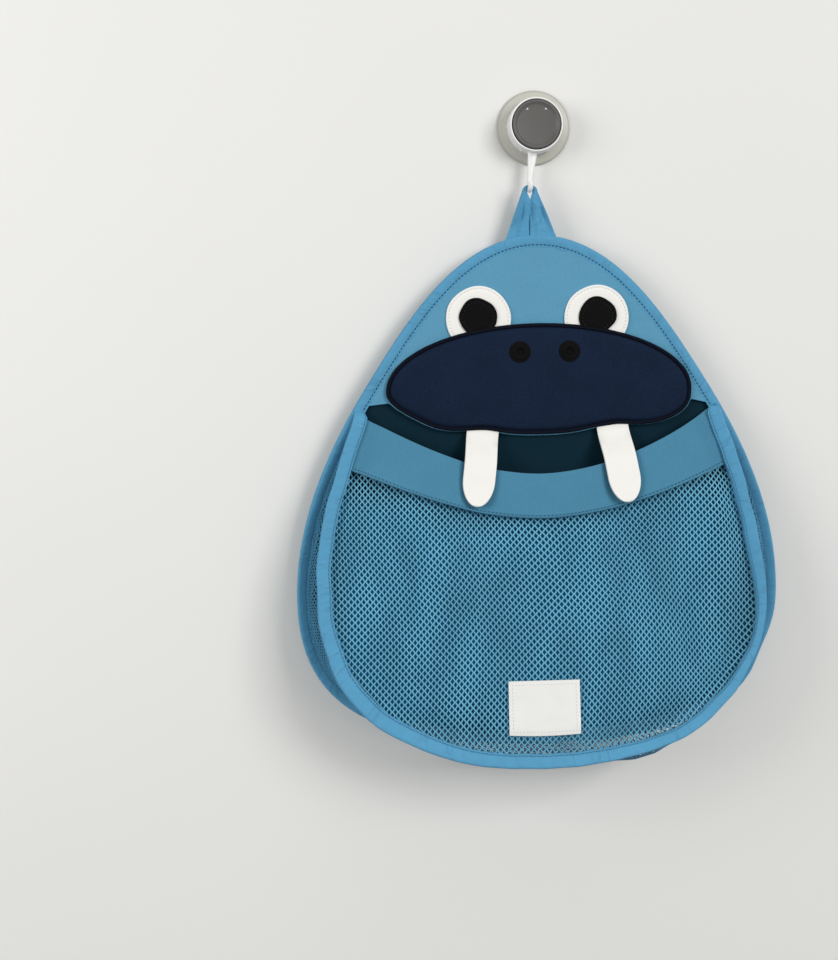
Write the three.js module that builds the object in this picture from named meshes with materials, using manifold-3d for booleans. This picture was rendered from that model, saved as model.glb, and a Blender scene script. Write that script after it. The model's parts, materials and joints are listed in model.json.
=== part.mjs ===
import * as THREE from 'three';
import { mergeVertices } from 'three/addons/utils/BufferGeometryUtils.js';
import Module from 'manifold-3d';

// Bath toy organizer: a cloth bag with a mesh pocket, hung by its loop on a twist-lock suction hook.
// Millimetres and degrees. The origin is the suction cup's centre on the wall: +X to the right,
// +Y into the wall, +Z up. Drops are measured downwards.

// Cloth thicknesses and fits
const neoprene = 2.2;
const felt = 1.6;
const tuskFelt = 2.4;
const meshCloth = 1.4;
const gussetCloth = 1.2;
const labelCloth = 0.8;
const tape = 0.9;
const bindingWidth = 8.5;
const clearance = 0.3;

// Back outline, to the outer edge of its binding, with the lengths of its curve handles
const bagWidth = 352;
const bagHeight = 370.6;
const widestDrop = 259.6;
const shoulderWidth = 247.4;
const shoulderDrop = 106.6;
const shoulderAngle = 32.4;
const crownHandle = 55;
const shoulderHandleUp = 60;
const shoulderHandleDown = 62;
const flankHandle = 51;
const hipHandle = 80;
const baseHandle = 120;

// Pocket front, in its own plane, which leans out from the mouth's corners
const mouthDrop = 125.6;
const cornerInset = 3;
const pocketTilt = 12;
const frontHeight = 250.5;
const frontNarrowing = 16.5;
const frontWidestDrop = 126;
const cornerAngle = 16.7;
const cornerHandle = 46;
const frontFlankHandle = 47;
const frontHipHandle = 81;
const frontBaseHandle = 83;

// Lip band across the pocket's mouth
const lipStartDrop = 1.5;
const lipSag = 43.5;
const lipMiddleHeight = 31.5;
const lipSideHeight = 35;
const lipCurve = 1.75;

// Net of the pocket front
const netPitchAcross = 15.6;
const netPitchDown = 20;
const netGapWidth = 10.6;
const netGapHeight = 14.4;
const netHem = 2.5;

// Label on the net
const labelWidth = 50;
const labelHeight = 37.3;
const labelRise = 23.5;
const labelShift = -3.5;

// Face
const eyeDiameter = 46.6;
const eyeSpacing = 84.6;
const eyeDrop = 58.8;
const pupilDiameter = 26.8;
const pupilSpacing = 85.6;
const pupilDrop = 57.2;
const muzzleWidth = 220;
const muzzleDrop = 109.6;
const muzzleRise = 47.5;
const muzzleFall = 31;
const muzzleFullness = 2.3;
const muzzleEdge = 2.8;
const muzzleCrown = 2.8;
const pipingDiameter = 3.4;
const nostrilDiameter = 16;
const nostrilHeight = 3.2;
const nostrilEdge = 1.6;
const nostrilCrest = 10;
const nostrilDimple = 1.4;
const nostrilDimpleWidth = 6;
const nostrilSpacing = 35.4;
const nostrilShift = 4.3;
const nostrilDrop = 82.6;
const nostrilSeat = 1;
const headCornerDrop = 121.6;
const headMargin = 1;
const headNotchAngle = 12;
const tuskWidth = 23;
const tuskLength = 52.4;
const tuskSpacing = 95;
const tuskShift = 7;
const tuskSplay = 8;

// Hanging loop
const loopLength = 31.4;
const loopBase = 35;
const loopPlay = 0.5;
const loopStrap = 1.6;
const loopEyeDrop = 12;

// Suction hook
const cupDiameter = 52;
const cupRim = 2;
const cupEdge = 1;
const cupHollow = 2.6;
const cupShoulder = 4.7;
const cupCrown = 6.7;
const cupBossRadius = 8.5;
const housingDiameter = 39;
const housingWall = 2;
const housingTaper = 0.9;
const housingFront = 18;
const webBack = 9.5;
const webThickness = 2;
const knobPlay = 0.6;
const knobProud = 1.2;
const knobBevel = 1;
const knobRim = 0.8;
const knobSlope = 3;
const knobDish = 1.6;
const studRadius = 3;
const studFlangeRadius = 5.5;
const studFlange = 2;
const studTravel = 1.2;
const studEngagement = 4.5;
const bossRoof = 1.2;
const armTopWidth = 7.2;
const armBottomWidth = 3.8;
const armThickness = 3.2;
const armReach = 10;
const hookDrop = 41.25;
const hookTurn = 6;
const rodRadius = 1.9;
const bendRadius = 4;
const tipRise = 1.5;

// Facets
const halfOutlineSteps = 32;
const frontHalfSteps = 28;
const lipSteps = 28;
const gussetSteps = 52;
const muzzleSteps = 56;
const crownRings = 4;
const pipingSides = 6;
const roundSides = 40;
const smallRoundSides = 28;
const rodSides = 10;
const bendSteps = 10;
const hollowSteps = 6;
const tuskSteps = 8;
const loopSteps = 12;

// Colour and roughness of each finish
const finishes = {
  clearCup: [0xc8c8be, 0.35],
  stud: [0xd8d8d4, 0.4],
  whitePlastic: [0xf2f1ec, 0.35],
  greyPlastic: [0x5a5855, 0.45],
  blueNeoprene: [0x5898b8, 0.9],
  navyNeoprene: [0x1b263c, 0.9],
  blueTape: [0x56a8d8, 0.85],
  blueMesh: [0x64a5c8, 0.85],
  blackPiping: [0x17171b, 0.7],
  whiteFelt: [0xf0eee8, 0.95],
  blackFelt: [0x15151a, 0.9],
  labelCloth: [0xf4f3f0, 0.8],
};

// Levels counted from the bag's own back face, negative towards the viewer
const backPanelBack = -(tape + clearance);
const backPanelFront = backPanelBack - neoprene;
const headBack = backPanelFront - clearance;
const headFront = headBack - neoprene;
const bindingFront = headFront - clearance - tape;
const faceBack = headFront - clearance;
const eyeFront = faceBack - felt;
const frontHalfThickness = neoprene / 2 + clearance + tape;
const panelInset = tape + clearance;
const seamInset = bindingWidth / 2;

const loopPlane = -(armReach + bendRadius);
const hookTurnAngle = THREE.MathUtils.degToRad(hookTurn);
const hookRodDrop = (hookDrop + bendRadius) * Math.cos(hookTurnAngle);
const hookRodShift = -(hookDrop + bendRadius) * Math.sin(hookTurnAngle);
const loopThickness = 2 * (bendRadius - rodRadius - loopPlay);
const bagTopDrop = hookRodDrop + loopLength;

const wasm = await Module();
wasm.setup();

function signedVolume(position, faces) {
  const a = new THREE.Vector3();
  const b = new THREE.Vector3();
  const c = new THREE.Vector3();
  let volume = 0;
  for (let i = 0; i < faces.length; i += 3) {
    a.fromBufferAttribute(position, faces[i]);
    b.fromBufferAttribute(position, faces[i + 1]);
    c.fromBufferAttribute(position, faces[i + 2]);
    volume += a.dot(b.cross(c)) / 6;
  }
  return volume;
}

// One closed surface with shared corners, no collapsed faces, facing out
function closedBody(geometry) {
  geometry.deleteAttribute('normal');
  geometry.deleteAttribute('uv');
  const merged = mergeVertices(geometry);
  const corners = merged.index.array;
  const faces = [];
  for (let i = 0; i < corners.length; i += 3) {
    const face = [corners[i], corners[i + 1], corners[i + 2]];
    if (new Set(face).size === 3) faces.push(...face);
  }
  if (signedVolume(merged.attributes.position, faces) < 0) faces.reverse();
  merged.setIndex(faces);
  merged.computeVertexNormals();
  return merged;
}

function bodyFrom(vertices, faces) {
  const geometry = new THREE.BufferGeometry();
  geometry.setAttribute('position', new THREE.Float32BufferAttribute(vertices.flat(), 3));
  geometry.setIndex(faces);
  return closedBody(geometry);
}

function solidOf(geometry) {
  const body = closedBody(geometry);
  return new wasm.Manifold(new wasm.Mesh({
    numProp: 3,
    vertProperties: new Float32Array(body.attributes.position.array),
    triVerts: new Uint32Array(body.index.array),
  }));
}

function bodyOf(solid) {
  const mesh = solid.getMesh();
  const geometry = new THREE.BufferGeometry();
  geometry.setAttribute('position', new THREE.BufferAttribute(mesh.vertProperties, 3));
  geometry.setIndex(new THREE.BufferAttribute(mesh.triVerts, 1));
  geometry.computeVertexNormals();
  return geometry;
}

// Flat piece cut to an outline of (x, z) points, from y = 0 towards the viewer
function plate(points, thickness, holes = []) {
  const shape = new THREE.Shape(points);
  shape.holes = holes;
  const geometry = new THREE.ExtrudeGeometry(shape, { depth: thickness, bevelEnabled: false });
  return geometry.rotateX(Math.PI / 2);
}

// Round piece about the Y axis, from (radius, y) points
function turned(points, sides) {
  const profile = points.map(([radius, y]) => new THREE.Vector2(radius, y));
  return new THREE.LatheGeometry(profile, sides);
}

function mirrored(rightSide) {
  return rightSide.slice(1, -1).reverse().map((p) => new THREE.Vector2(-p.x, p.y));
}

function lean(angle, length) {
  const radians = THREE.MathUtils.degToRad(angle);
  return new THREE.Vector2(Math.sin(radians) * length, -Math.cos(radians) * length);
}

function curveThrough(from, leaving, arriving, to) {
  return new THREE.CubicBezierCurve(from, from.clone().add(leaving), to.clone().add(arriving), to);
}

function spacedAlong(curves, steps) {
  const path = new THREE.CurvePath();
  curves.forEach((curve) => path.add(curve));
  return path.getSpacedPoints(steps);
}

// Unit normals on the right-hand side of the walk along the points
function sideNormals(points, isLoop) {
  const last = points.length - 1;
  return points.map((point, i) => {
    const before = points[i > 0 ? i - 1 : isLoop ? last : 0];
    const after = points[i < last ? i + 1 : isLoop ? 0 : last];
    const along = after.clone().sub(before).normalize();
    return new THREE.Vector2(along.y, -along.x);
  });
}

function inset(points, distance, isLoop) {
  const normals = sideNormals(points, isLoop);
  return points.map((point, i) => point.clone().addScaledVector(normals[i], distance));
}

// Section of (inset, y) points, anticlockwise, carried along an outline
function sweep(points, section, isLoop) {
  const normals = sideNormals(points, isLoop);
  const size = section.length;
  const vertices = points.flatMap((point, i) => section.map(([depth, y]) => [
    point.x + normals[i].x * depth,
    y,
    point.y + normals[i].y * depth,
  ]));
  const faces = [];
  const spans = isLoop ? points.length : points.length - 1;
  for (let i = 0; i < spans; i += 1) {
    const here = i * size;
    const next = ((i + 1) % points.length) * size;
    for (let j = 0; j < size; j += 1) {
      const k = (j + 1) % size;
      faces.push(here + j, next + j, next + k, here + j, next + k, here + k);
    }
  }
  if (!isLoop) {
    const cap = THREE.ShapeUtils.triangulateShape(section.map(([u, v]) => new THREE.Vector2(u, v)), []);
    const end = (points.length - 1) * size;
    cap.forEach(([a, b, c]) => faces.push(a, b, c, end + c, end + b, end + a));
  }
  return bodyFrom(vertices, faces);
}

// Folded tape: a channel that opens inwards, from the front level to the back level
function foldedTape(points, front, back, isLoop) {
  const roll = tape;
  const section = [
    [roll, front],
    [bindingWidth, front],
    [bindingWidth, front + tape],
    [tape, front + tape],
    [tape, back - tape],
    [bindingWidth, back - tape],
    [bindingWidth, back],
    [roll, back],
    [0, back - roll],
    [0, front + roll],
  ];
  return sweep(points, section, isLoop);
}

// Half-width of a right-hand outline at a height
function halfWidthAt(rightSide, height) {
  const i = Math.max(1, rightSide.findIndex((p) => p.y <= height));
  const above = rightSide[i - 1];
  const below = rightSide[i];
  const share = (height - above.y) / (below.y - above.y);
  return above.x + (below.x - above.x) * share;
}

function evenlySpaced(points, steps) {
  const lines = points.slice(1).map((point, i) => new THREE.LineCurve(points[i], point));
  return spacedAlong(lines, steps);
}

// Back outline: crown, shoulder, hips and base
const shoulder = new THREE.Vector2(shoulderWidth / 2, -shoulderDrop);
const backWidest = new THREE.Vector2(bagWidth / 2, -widestDrop);
const backRight = spacedAlong([
  curveThrough(new THREE.Vector2(0, 0), new THREE.Vector2(crownHandle, 0),
    lean(shoulderAngle, -shoulderHandleUp), shoulder),
  curveThrough(shoulder, lean(shoulderAngle, shoulderHandleDown),
    new THREE.Vector2(0, flankHandle), backWidest),
  curveThrough(backWidest, new THREE.Vector2(0, -hipHandle),
    new THREE.Vector2(baseHandle, 0), new THREE.Vector2(0, -bagHeight)),
], halfOutlineSteps);
const backLoop = [...backRight, ...mirrored(backRight)];
const backInner = inset(backLoop, panelInset, true);
const backInnerRight = backInner.slice(0, backRight.length);

// Front outline in the pocket's plane, from mouth corner to mouth corner
const mouthCorner = new THREE.Vector2(halfWidthAt(backRight, -mouthDrop) - cornerInset, 0);
const frontWidest = new THREE.Vector2(bagWidth / 2 - frontNarrowing, -frontWidestDrop);
const frontRight = spacedAlong([
  curveThrough(mouthCorner, lean(cornerAngle, cornerHandle),
    new THREE.Vector2(0, frontFlankHandle), frontWidest),
  curveThrough(frontWidest, new THREE.Vector2(0, -frontHipHandle),
    new THREE.Vector2(frontBaseHandle, 0), new THREE.Vector2(0, -frontHeight)),
], frontHalfSteps);
const frontOutline = [...frontRight, ...mirrored(frontRight), new THREE.Vector2(-mouthCorner.x, 0)];
const frontInner = inset(frontOutline, panelInset, false);
const frontInnerRight = frontInner.slice(0, frontRight.length);

// Muzzle outline: a half ellipse above its widest line and a fuller half below it
function muzzlePoint(angle, grow) {
  const radians = THREE.MathUtils.degToRad(angle);
  const power = Math.sin(radians) < 0 ? 2 / muzzleFullness : 1;
  const rise = Math.sin(radians) < 0 ? muzzleFall : muzzleRise;
  const across = Math.sign(Math.cos(radians)) * Math.abs(Math.cos(radians)) ** power;
  const up = Math.sign(Math.sin(radians)) * Math.abs(Math.sin(radians)) ** power;
  return new THREE.Vector2((muzzleWidth / 2 + grow) * across, (rise + grow) * up - muzzleDrop);
}

function muzzleArc(fromAngle, toAngle, steps, grow) {
  const points = [];
  for (let i = 0; i <= steps; i += 1) {
    points.push(muzzlePoint(fromAngle + (toAngle - fromAngle) * i / steps, grow));
  }
  return points;
}

function muzzleLoop(grow) {
  return muzzleArc(0, -360, muzzleSteps, grow).slice(0, -1);
}

function lipTop(x) {
  const half = halfWidthAt(frontInnerRight, -lipStartDrop);
  return -lipStartDrop - lipSag * (1 - Math.abs(x / half) ** lipCurve);
}

const lipSideDrop = lipStartDrop + lipSideHeight;

function lipBottom(x) {
  const half = halfWidthAt(frontInnerRight, -lipSideDrop);
  const sag = lipStartDrop + lipSag + lipMiddleHeight - lipSideDrop;
  return -lipSideDrop - sag * (1 - Math.abs(x / half) ** lipCurve);
}

function acrossLine(half, heightAt, steps) {
  const points = [];
  for (let i = 0; i <= steps; i += 1) {
    const x = half * (2 * i / steps - 1);
    points.push(new THREE.Vector2(x, heightAt(x)));
  }
  return points;
}

function flip(points) {
  return points.map((p) => new THREE.Vector2(-p.x, p.y)).reverse();
}

function backPanel() {
  return plate(backInner, neoprene);
}

function headPanel() {
  const upper = backInnerRight.filter((p) => p.y > -headCornerDrop);
  const corner = new THREE.Vector2(halfWidthAt(backInnerRight, -headCornerDrop), -headCornerDrop);
  const lower = muzzleArc(-headNotchAngle, headNotchAngle - 180, muzzleSteps / 2, headMargin);
  const leftUpper = flip([...upper.slice(1), corner]);
  return plate([...upper, corner, ...lower, ...leftUpper], neoprene);
}

function lipBand() {
  const upperHalf = halfWidthAt(frontInnerRight, -lipStartDrop);
  const lowerHalf = halfWidthAt(frontInnerRight, -lipSideDrop);
  const side = frontInnerRight.filter((p) => p.y < -lipStartDrop && p.y > -lipSideDrop);
  const top = acrossLine(upperHalf, lipTop, lipSteps);
  const bottom = acrossLine(lowerHalf, lipBottom, lipSteps).reverse();
  return plate([...top, ...side, ...bottom, ...flip(side)], neoprene);
}

const netTopDrop = lipSideDrop + clearance;

// Diamond gaps in staggered rows, clear of the lip band and the binding
function netGaps() {
  const gaps = [];
  const rows = Math.ceil(frontHeight / netPitchDown) * 2;
  const columns = Math.ceil(bagWidth / netPitchAcross);
  const halfAcross = netGapWidth / 2;
  const halfDown = netGapHeight / 2;
  const hem = bindingWidth - panelInset + netHem;
  for (let row = 0; row <= rows; row += 1) {
    for (let column = -columns; column <= columns; column += 1) {
      const x = (column + (row % 2) / 2) * netPitchAcross;
      const z = -row * netPitchDown / 2;
      const reach = Math.abs(x) + halfAcross + hem;
      const isBelowLip = z + halfDown + netHem < lipBottom(x) - clearance;
      const isAboveHem = z - halfDown - hem > -frontHeight;
      const isInside = isAboveHem && reach < halfWidthAt(frontInnerRight, z)
        && reach - halfAcross < halfWidthAt(frontInnerRight, z - halfDown - hem / 2);
      if (isBelowLip && isInside) {
        gaps.push(new THREE.Path([
          new THREE.Vector2(x - halfAcross, z),
          new THREE.Vector2(x, z - halfDown),
          new THREE.Vector2(x + halfAcross, z),
          new THREE.Vector2(x, z + halfDown),
        ]));
      }
    }
  }
  return gaps;
}

function frontNet() {
  const half = halfWidthAt(frontInnerRight, -netTopDrop);
  const top = acrossLine(half, (x) => lipBottom(x) - clearance, lipSteps);
  const below = frontInnerRight.filter((p) => p.y < -netTopDrop);
  return plate([...top, ...below, ...flip(below.slice(0, -1))], meshCloth, netGaps());
}

// Strip of mesh between the two bindings, from one mouth corner round the base to the other
function gusset(frontMatrix) {
  const cornerOnBack = new THREE.Vector2(halfWidthAt(backRight, -mouthDrop), -mouthDrop);
  const lowerRight = [cornerOnBack, ...backRight.filter((p) => p.y < -mouthDrop)];
  const lower = [...lowerRight, ...flip(lowerRight.slice(0, -1))];
  const backSeam = evenlySpaced(inset(lower, seamInset, false), gussetSteps);
  const frontSeam = evenlySpaced(inset(frontOutline, seamInset, false), gussetSteps);
  const backLevel = bindingFront - clearance - gussetCloth / 4;
  const frontLevel = frontHalfThickness + clearance + gussetCloth / 4;
  const backEdge = backSeam.map((p) => new THREE.Vector3(p.x, backLevel, p.y));
  const frontEdge = frontSeam.map((p) => new THREE.Vector3(p.x, frontLevel, p.y).applyMatrix4(frontMatrix));
  const kept = backEdge.map((p, i) => i).filter((i) => backEdge[i].y - frontEdge[i].y > gussetCloth);
  const vertices = kept.flatMap((i) => {
    const along = backEdge[Math.min(i + 1, gussetSteps)].clone().sub(backEdge[Math.max(i - 1, 0)]);
    const across = frontEdge[i].clone().sub(backEdge[i]);
    const offset = along.cross(across).setLength(gussetCloth / 2);
    return [
      backEdge[i].clone().add(offset).toArray(),
      frontEdge[i].clone().add(offset).toArray(),
      frontEdge[i].clone().sub(offset).toArray(),
      backEdge[i].clone().sub(offset).toArray(),
    ];
  });
  const faces = [];
  for (let i = 0; i < kept.length - 1; i += 1) {
    for (let j = 0; j < 4; j += 1) {
      const [a, b] = [i * 4 + j, i * 4 + (j + 1) % 4];
      faces.push(a, a + 4, b + 4, a, b + 4, b);
    }
  }
  const end = (kept.length - 1) * 4;
  faces.push(0, 1, 2, 0, 2, 3, end, end + 2, end + 1, end, end + 3, end + 2);
  return bodyFrom(vertices, faces);
}

// Padded panel with a square edge and a crowned face
function crownedPad(outline, edge, crown) {
  const size = outline.length;
  const centre = new THREE.Box2().setFromPoints(outline).getCenter(new THREE.Vector2());
  const vertices = outline.map((p) => [p.x, 0, p.y]);
  for (let ring = 0; ring <= crownRings; ring += 1) {
    const angle = Math.PI / 2 * ring / (crownRings + 1);
    outline.forEach((p) => {
      const q = centre.clone().lerp(p, Math.cos(angle));
      vertices.push([q.x, -edge - crown * Math.sin(angle), q.y]);
    });
  }
  const backPole = vertices.push([centre.x, 0, centre.y]) - 1;
  const frontPole = vertices.push([centre.x, -edge - crown, centre.y]) - 1;
  const faces = [];
  for (let j = 0; j < size; j += 1) {
    const k = (j + 1) % size;
    faces.push(backPole, k, j);
    for (let ring = 0; ring <= crownRings; ring += 1) {
      const here = ring * size;
      const next = here + size;
      faces.push(here + j, here + k, next + k, here + j, next + k, next + j);
    }
    const inner = (crownRings + 1) * size;
    faces.push(inner + j, inner + k, frontPole);
  }
  return bodyFrom(vertices, faces);
}

const nostrilBase = -(muzzleEdge + nostrilSeat);

function muzzle() {
  const outline = inset(muzzleLoop(0), pipingDiameter + clearance, true);
  let pad = solidOf(crownedPad(outline, muzzleEdge, muzzleCrown));
  [-1, 1].forEach((side) => {
    const seat = new THREE.CylinderGeometry(nostrilDiameter / 2 + clearance, nostrilDiameter / 2 + clearance,
      nostrilHeight + muzzleCrown, smallRoundSides);
    seat.translate(nostrilShift + side * nostrilSpacing / 2,
      nostrilBase - (nostrilHeight + muzzleCrown) / 2, -nostrilDrop);
    pad = pad.subtract(solidOf(seat));
  });
  return bodyOf(pad);
}

function muzzlePiping() {
  const radius = pipingDiameter / 2;
  const section = [];
  for (let i = 0; i < pipingSides; i += 1) {
    const angle = 2 * Math.PI * i / pipingSides;
    section.push([radius + radius * Math.cos(angle), radius * Math.sin(angle)]);
  }
  return sweep(muzzleLoop(0), section, true);
}

function nostril() {
  const radius = nostrilDiameter / 2;
  return turned([
    [0, 0],
    [radius, 0],
    [radius, -nostrilEdge],
    [(radius + nostrilCrest / 2) / 2, -(nostrilEdge + 2 * nostrilHeight) / 3],
    [nostrilCrest / 2, -nostrilHeight],
    [nostrilDimpleWidth / 2, nostrilDimple - nostrilHeight],
    [0, nostrilDimple - nostrilHeight],
  ], smallRoundSides);
}

// Felt disc, cut off where the muzzle's piping lies over it
function faceDisc(diameter, spacing, drop, side) {
  const disc = new THREE.CylinderGeometry(diameter / 2, diameter / 2, felt, roundSides);
  disc.translate(side * spacing / 2, -felt / 2, -drop);
  const cover = plate(muzzleLoop(clearance), 3 * felt).translate(0, felt, 0);
  return bodyOf(solidOf(disc).subtract(solidOf(cover)));
}

function muzzleBottomAt(x) {
  const across = Math.abs(2 * x / muzzleWidth) ** muzzleFullness;
  return -muzzleDrop - muzzleFall * (1 - across) ** (1 / muzzleFullness);
}

// Hinge line of a tusk, as (x, y, z), below the muzzle's edge at the tusk's inner side
function tuskHinge(side) {
  const x = tuskShift + side * tuskSpacing / 2;
  const edge = muzzleBottomAt(Math.abs(x) - tuskWidth / 2);
  return new THREE.Vector3(x, faceBack - clearance - tuskFelt / 2,
    edge - headMargin - clearance - tuskFelt / 2);
}

function tusk(side, frontMatrix) {
  const hinge = tuskHinge(side);
  const splay = Math.tan(THREE.MathUtils.degToRad(tuskSplay)) * tuskLength;
  const outer = Math.abs(hinge.x) + tuskWidth / 2 + splay;
  const gap = neoprene / 2 + clearance + tuskFelt / 2;
  const overLip = new THREE.Vector3(0, -gap, lipTop(outer)).applyMatrix4(frontMatrix).sub(hinge);
  const bend = new THREE.Vector2(overLip.y, overLip.z);
  const downFront = new THREE.Vector2(0, -1).rotateAround(new THREE.Vector2(),
    -THREE.MathUtils.degToRad(pocketTilt));
  const tip = bend.clone().addScaledVector(downFront, tuskLength - bend.length());
  const normals = sideNormals([new THREE.Vector2(), bend, tip], false);
  const half = tuskFelt / 2;
  const widen = half / Math.cos(normals[0].angleTo(normals[2]) / 2);
  const widths = [half, widen, half];
  const edge = (sign) => [new THREE.Vector2(), bend, tip].map((p, i) => (
    p.clone().addScaledVector(normals[i], sign * widths[i])));
  const profile = new THREE.Shape([...edge(1), ...edge(-1).reverse()]);
  const reach = tuskWidth + 2 * splay;
  const strip = new THREE.ExtrudeGeometry(profile, { depth: 2 * reach, bevelEnabled: false });
  strip.applyMatrix4(new THREE.Matrix4().makeBasis(new THREE.Vector3(0, 1, 0), new THREE.Vector3(0, 0, 1),
    new THREE.Vector3(1, 0, 0)));
  strip.translate(-reach, 0, 0);
  const roll = new THREE.CylinderGeometry(half, half, 2 * reach, rodSides).rotateZ(Math.PI / 2);
  const radius = tuskWidth / 2;
  const fall = -tip.y - radius;
  const outline = new THREE.Shape();
  outline.moveTo(-radius, half);
  outline.lineTo(-radius, -fall);
  outline.absarc(0, -fall, radius, Math.PI, 2 * Math.PI, false);
  outline.lineTo(radius, half);
  const cutter = new THREE.ExtrudeGeometry(outline, {
    depth: 2 * tuskLength,
    bevelEnabled: false,
    curveSegments: tuskSteps,
  });
  cutter.rotateX(Math.PI / 2);
  cutter.translate(0, tuskLength, 0);
  const shear = side * splay / tuskLength;
  cutter.applyMatrix4(new THREE.Matrix4().set(1, 0, -shear, 0, 0, 1, 0, 0, 0, 0, 1, 0, 0, 0, 0, 1));
  return bodyOf(solidOf(strip).add(solidOf(roll)).intersect(solidOf(cutter)));
}

// Cloth loop: two legs that meet over the hook, with a rounded foot on the bag's top edge
const troughRadius = bendRadius - rodRadius;
const troughDepth = Math.sqrt(troughRadius ** 2 - (loopThickness / 2) ** 2);
const loopEyeRadius = bendRadius + clearance - troughDepth;
const loopFoot = loopLength - clearance - loopThickness / 2;

function hangingLoop() {
  const outer = loopEyeRadius + loopStrap;
  const legAngle = Math.atan2(loopFoot, loopBase / 2) - Math.acos(outer / Math.hypot(loopFoot, loopBase / 2));
  const shape = new THREE.Shape();
  shape.moveTo(-loopBase / 2, -loopFoot);
  shape.lineTo(loopBase / 2, -loopFoot);
  shape.absarc(0, 0, outer, -legAngle, Math.PI + legAngle, false);
  const eyeAngle = Math.asin(loopEyeRadius / loopEyeDrop);
  const eye = new THREE.Path();
  eye.moveTo(0, -loopEyeDrop);
  eye.lineTo(loopEyeRadius * Math.cos(eyeAngle), -loopEyeRadius * Math.sin(eyeAngle));
  eye.absarc(0, 0, loopEyeRadius, -eyeAngle, Math.PI + eyeAngle, false);
  shape.holes.push(eye);
  const legs = new THREE.ExtrudeGeometry(shape, {
    depth: loopThickness,
    bevelEnabled: false,
    curveSegments: loopSteps,
  });
  legs.rotateX(Math.PI / 2).translate(0, loopThickness / 2, 0);
  const foot = new THREE.CylinderGeometry(loopThickness / 2, loopThickness / 2, loopBase, rodSides);
  foot.rotateZ(Math.PI / 2).translate(0, 0, -loopFoot);
  return bodyOf(solidOf(legs).add(solidOf(foot)));
}

const housingRadius = housingDiameter / 2;
const housingBore = housingRadius - housingWall;
const webFront = webBack + webThickness;
const bossFront = webBack - clearance;
const pocketFront = bossFront - bossRoof;
const pocketBack = pocketFront - studFlange - studTravel - 2 * clearance;
const studFront = webFront + clearance + studEngagement;

function suctionCup() {
  const radius = cupDiameter / 2;
  const hollow = [];
  for (let i = 0; i <= hollowSteps; i += 1) {
    const angle = Math.PI / 2 * i / hollowSteps;
    hollow.push([(radius - cupRim) * Math.sin(angle), -cupHollow * Math.cos(angle)]);
  }
  return turned([
    ...hollow,
    [radius, 0],
    [radius, -cupEdge],
    [housingRadius, -cupShoulder + clearance],
    [housingBore, -cupShoulder],
    [cupBossRadius, -cupCrown],
    [cupBossRadius, -bossFront],
    [studRadius + clearance, -bossFront],
    [studRadius + clearance, -pocketFront],
    [studFlangeRadius + clearance, -pocketFront],
    [studFlangeRadius + clearance, -pocketBack],
    [0, -pocketBack],
  ], roundSides);
}

function cupStud() {
  const flangeFront = pocketFront - clearance;
  return turned([
    [0, -flangeFront + studFlange],
    [studFlangeRadius, -flangeFront + studFlange],
    [studFlangeRadius, -flangeFront],
    [studRadius, -flangeFront],
    [studRadius, -studFront],
    [0, -studFront],
  ], smallRoundSides);
}

// Ring with its web, arm and curl, moulded in one and turned a little on the wall
function hookBody() {
  const ring = turned([
    [studRadius + clearance, -webBack],
    [housingBore, -webBack],
    [housingBore, -cupShoulder - clearance],
    [housingRadius, -cupShoulder - clearance],
    [housingRadius - housingTaper, -housingFront],
    [housingBore, -housingFront],
    [housingBore, -webFront],
    [studRadius + clearance, -webFront],
    [studRadius + clearance, -webBack],
  ], roundSides);
  const root = -housingRadius + housingWall / 2;
  const arm = plate([
    new THREE.Vector2(-armTopWidth / 2, root),
    new THREE.Vector2(-armBottomWidth / 2, -hookDrop),
    new THREE.Vector2(armBottomWidth / 2, -hookDrop),
    new THREE.Vector2(armTopWidth / 2, root),
  ], armThickness).translate(0, -armReach + armThickness / 2, 0);
  const points = [new THREE.Vector3(0, -armReach, -hookDrop + bendRadius)];
  for (let i = 0; i <= bendSteps; i += 1) {
    const angle = Math.PI * i / bendSteps;
    points.push(new THREE.Vector3(0, loopPlane + bendRadius * Math.cos(angle),
      -hookDrop - bendRadius * Math.sin(angle)));
  }
  points.push(new THREE.Vector3(0, loopPlane - bendRadius, -hookDrop + tipRise));
  const bend = new THREE.CatmullRomCurve3(points, false, 'centripetal');
  const section = new THREE.Shape().absarc(0, 0, rodRadius, 0, 2 * Math.PI, false);
  const curl = new THREE.ExtrudeGeometry(section, {
    steps: 2 * bendSteps,
    curveSegments: rodSides,
    extrudePath: bend,
  });
  const nub = new THREE.SphereGeometry(rodRadius, rodSides, rodSides / 2);
  nub.translate(0, loopPlane - bendRadius, -hookDrop + tipRise);
  let hook = solidOf(ring);
  [arm, curl, nub].forEach((limb) => {
    hook = hook.add(solidOf(limb.rotateY(hookTurnAngle)));
  });
  return bodyOf(hook);
}

function twistKnob() {
  const radius = housingBore - knobPlay;
  const back = webFront + clearance;
  const front = housingFront + knobProud;
  const dish = radius - knobBevel - knobRim - knobSlope;
  return turned([
    [0, -studFront - clearance],
    [studRadius + clearance, -studFront - clearance],
    [studRadius + clearance, -back],
    [radius, -back],
    [radius, -front + knobBevel],
    [radius - knobBevel, -front],
    [dish + knobSlope, -front],
    [dish, -front + knobDish],
    [0, -front + knobDish],
  ], roundSides);
}

// Every piece has its own material
function piece(name, geometry, finish, place = [0, 0, 0]) {
  const [color, roughness] = finishes[finish];
  const material = new THREE.MeshStandardMaterial({ color, roughness, metalness: 0 });
  const mesh = new THREE.Mesh(closedBody(geometry), material);
  mesh.name = name;
  mesh.position.fromArray(place);
  return mesh;
}

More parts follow.
